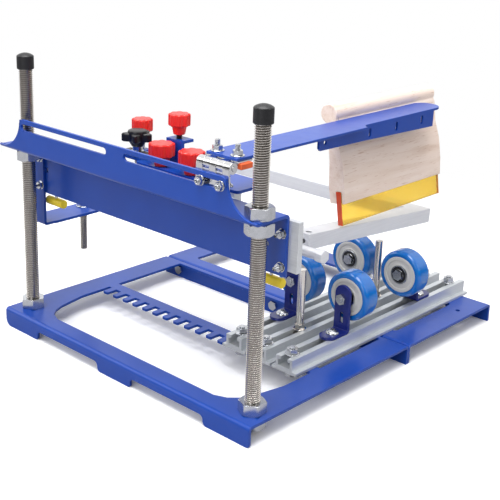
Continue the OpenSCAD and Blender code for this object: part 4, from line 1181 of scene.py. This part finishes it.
def paper_sweep():
    """White paper that keeps the shadow near the press and is plain white far off."""
    material = bpy.data.materials.new("White paper sweep")
    material.use_nodes = True
    tree = material.node_tree
    tree.nodes.clear()
    rays, seen = in_picture(tree)
    gloss = rays["Is Glossy Ray"]
    unseen = add_node(tree, "ShaderNodeMix", {"data_type": "RGBA"}, _0=gloss, _6=FLOOR_GREY, _7=MIRRORED_GREY)
    tone = add_node(
        tree,
        "ShaderNodeMix",
        {"data_type": "RGBA", "clamp_result": False, "clamp_factor": True},
        _0=seen,
        _6=unseen.outputs[2],
        _7=PICTURE_WHITE,
    )
    paper = add_node(tree, "ShaderNodeBsdfDiffuse", None, Color=tone.outputs[2])
    white = add_node(tree, "ShaderNodeEmission", None, Color=(1, 1, 1, 1), Strength=1.0)
    place = add_node(tree, "ShaderNodeTexCoord").outputs["Object"]
    distance = add_node(tree, "ShaderNodeVectorMath", {"operation": "LENGTH"}, _0=place).outputs["Value"]
    smoothstep = {"interpolation_type": "SMOOTHSTEP"}
    far = add_node(tree, "ShaderNodeMapRange", smoothstep, Value=distance, _1=FADE_START, _2=FADE_END)
    far_seen = add_node(tree, "ShaderNodeMath", {"operation": "MULTIPLY"}, _0=far.outputs["Result"], _1=seen)
    blend = add_node(
        tree,
        "ShaderNodeMixShader",
        None,
        _0=far_seen.outputs["Value"],
        _1=paper.outputs["BSDF"],
        _2=white.outputs["Emission"],
    )
    add_node(tree, "ShaderNodeOutputMaterial", None, Surface=blend.outputs["Shader"])
    return material


def white_studio():
    """Plain white in the picture, soft light all round, and in gloss a bright side up and behind."""
    world = bpy.data.worlds.new("White studio")
    world.use_nodes = True
    tree = world.node_tree
    tree.nodes.clear()
    rays, seen = in_picture(tree)
    bright_side = (-0.35, 0.36, 0.9)
    direction = add_node(tree, "ShaderNodeTexCoord").outputs["Generated"]
    dot = {"operation": "DOT_PRODUCT"}
    facing = add_node(tree, "ShaderNodeVectorMath", dot, _0=direction, _1=bright_side)
    walls = add_node(
        tree,
        "ShaderNodeMapRange",
        {"interpolation_type": "SMOOTHSTEP"},
        Value=facing.outputs["Value"],
        _1=0.1,
        _2=0.5,
        _3=0.05,
        _4=1.15,
    )
    soft_light = 0.5
    gloss = rays["Is Glossy Ray"]
    glossy = add_node(tree, "ShaderNodeMix", None, _0=gloss, _2=soft_light, _3=walls.outputs["Result"])
    strength = add_node(tree, "ShaderNodeMix", None, _0=seen, _2=glossy.outputs["Result"], _3=1.0)
    power = strength.outputs["Result"]
    sky = add_node(tree, "ShaderNodeBackground", None, Color=(1, 1, 1, 1), Strength=power)
    add_node(tree, "ShaderNodeOutputWorld", None, Surface=sky.outputs["Background"])
    return world


def hang_softbox(name, place, size, power):
    """A square lamp aimed at the press."""
    lamp = bpy.data.lights.new(name, "AREA")
    lamp.shape = "SQUARE"
    lamp.size = size
    lamp.energy = power
    holder = new_object(name, lamp)
    holder.location = place
    aim = Vector(LAMPS_AIM) - Vector(place)
    holder.rotation_euler = aim.to_track_quat("-Z", "Y").to_euler()


def set_camera(settings):
    """The camera that was fitted to the photograph."""
    data = bpy.data.cameras.new("camera")
    camera = new_object("camera", data)
    yaw, pitch, roll = settings.camera_yaw, settings.camera_pitch, settings.camera_roll
    forward = Vector((-math.sin(yaw) * math.cos(pitch), math.cos(yaw) * math.cos(pitch), -math.sin(pitch)))
    right = Vector((math.cos(yaw), math.sin(yaw), 0))
    up = right.cross(forward)
    level_right = right * math.cos(roll) + up * math.sin(roll)
    level_up = up * math.cos(roll) - right * math.sin(roll)
    turn = Matrix((level_right, level_up, -forward)).transposed().to_4x4()
    camera.matrix_world = Matrix.Translation(settings.camera_place) @ turn
    data.sensor_width = SENSOR_WIDTH
    data.lens = settings.focal_pixels / PICTURE_PIXELS * SENSOR_WIDTH
    data.shift_x, data.shift_y = settings.shift
    data.clip_start, data.clip_end = 0.01, 50
    bpy.context.scene.camera = camera


class PRESS_OT_stage(bpy.types.Operator):
    """Lays the floor, hangs the lamps and sets the camera"""

    bl_idname = "press.stage"
    bl_label = "Floor, lamps and camera"

    def execute(self, context):
        bpy.ops.object.select_all(action="DESELECT")
        bpy.ops.mesh.primitive_plane_add(size=FLOOR_SIZE, location=(0, 0.2, 0))
        floor = bpy.context.object
        floor.name = "studio_floor"
        bpy.ops.object.transform_apply(location=True)
        floor.data.materials.append(paper_sweep())
        context.scene.world = white_studio()
        for softbox in SOFTBOXES:
            hang_softbox(*softbox)
        set_camera(context.scene.press_stage)
        context.scene.view_settings.view_transform = "Standard"
        return {"FINISHED"}


class PRESS_PT_panel(bpy.types.Panel):
    """Lists the press's settings and its operators"""

    bl_idname = "PRESS_PT_panel"
    bl_label = "Screen printing press"
    bl_space_type = "VIEW_3D"
    bl_region_type = "UI"
    bl_category = "Press"

    def draw(self, context):
        scene = context.scene
        for group in (scene.press_details, scene.press_colours, scene.press_stage):
            for key in group.__annotations__:
                self.layout.prop(group, key)
        for operator in OPERATORS:
            self.layout.operator(operator.bl_idname)


OPERATORS = (
    PRESS_OT_sheet_metal,
    PRESS_OT_machined,
    PRESS_OT_posts,
    PRESS_OT_fasteners,
    PRESS_OT_knobs,
    PRESS_OT_wheels,
    PRESS_OT_squeegee,
    PRESS_OT_stage,
)
CLASSES = (PRESS_PG_details, PRESS_PG_colours, PRESS_PG_stage, *OPERATORS, PRESS_PT_panel)


def register():
    for cls in CLASSES:
        bpy.utils.register_class(cls)
    bpy.types.Scene.press_details = bpy.props.PointerProperty(type=PRESS_PG_details)
    bpy.types.Scene.press_colours = bpy.props.PointerProperty(type=PRESS_PG_colours)
    bpy.types.Scene.press_stage = bpy.props.PointerProperty(type=PRESS_PG_stage)


def unregister():
    del bpy.types.Scene.press_stage
    del bpy.types.Scene.press_colours
    del bpy.types.Scene.press_details
    for cls in reversed(CLASSES):
        bpy.utils.unregister_class(cls)


def main():
    register()
    for operator in OPERATORS:
        group, name = operator.bl_idname.split(".")
        getattr(getattr(bpy.ops, group), name)()


if __name__ == "__main__":
    main()
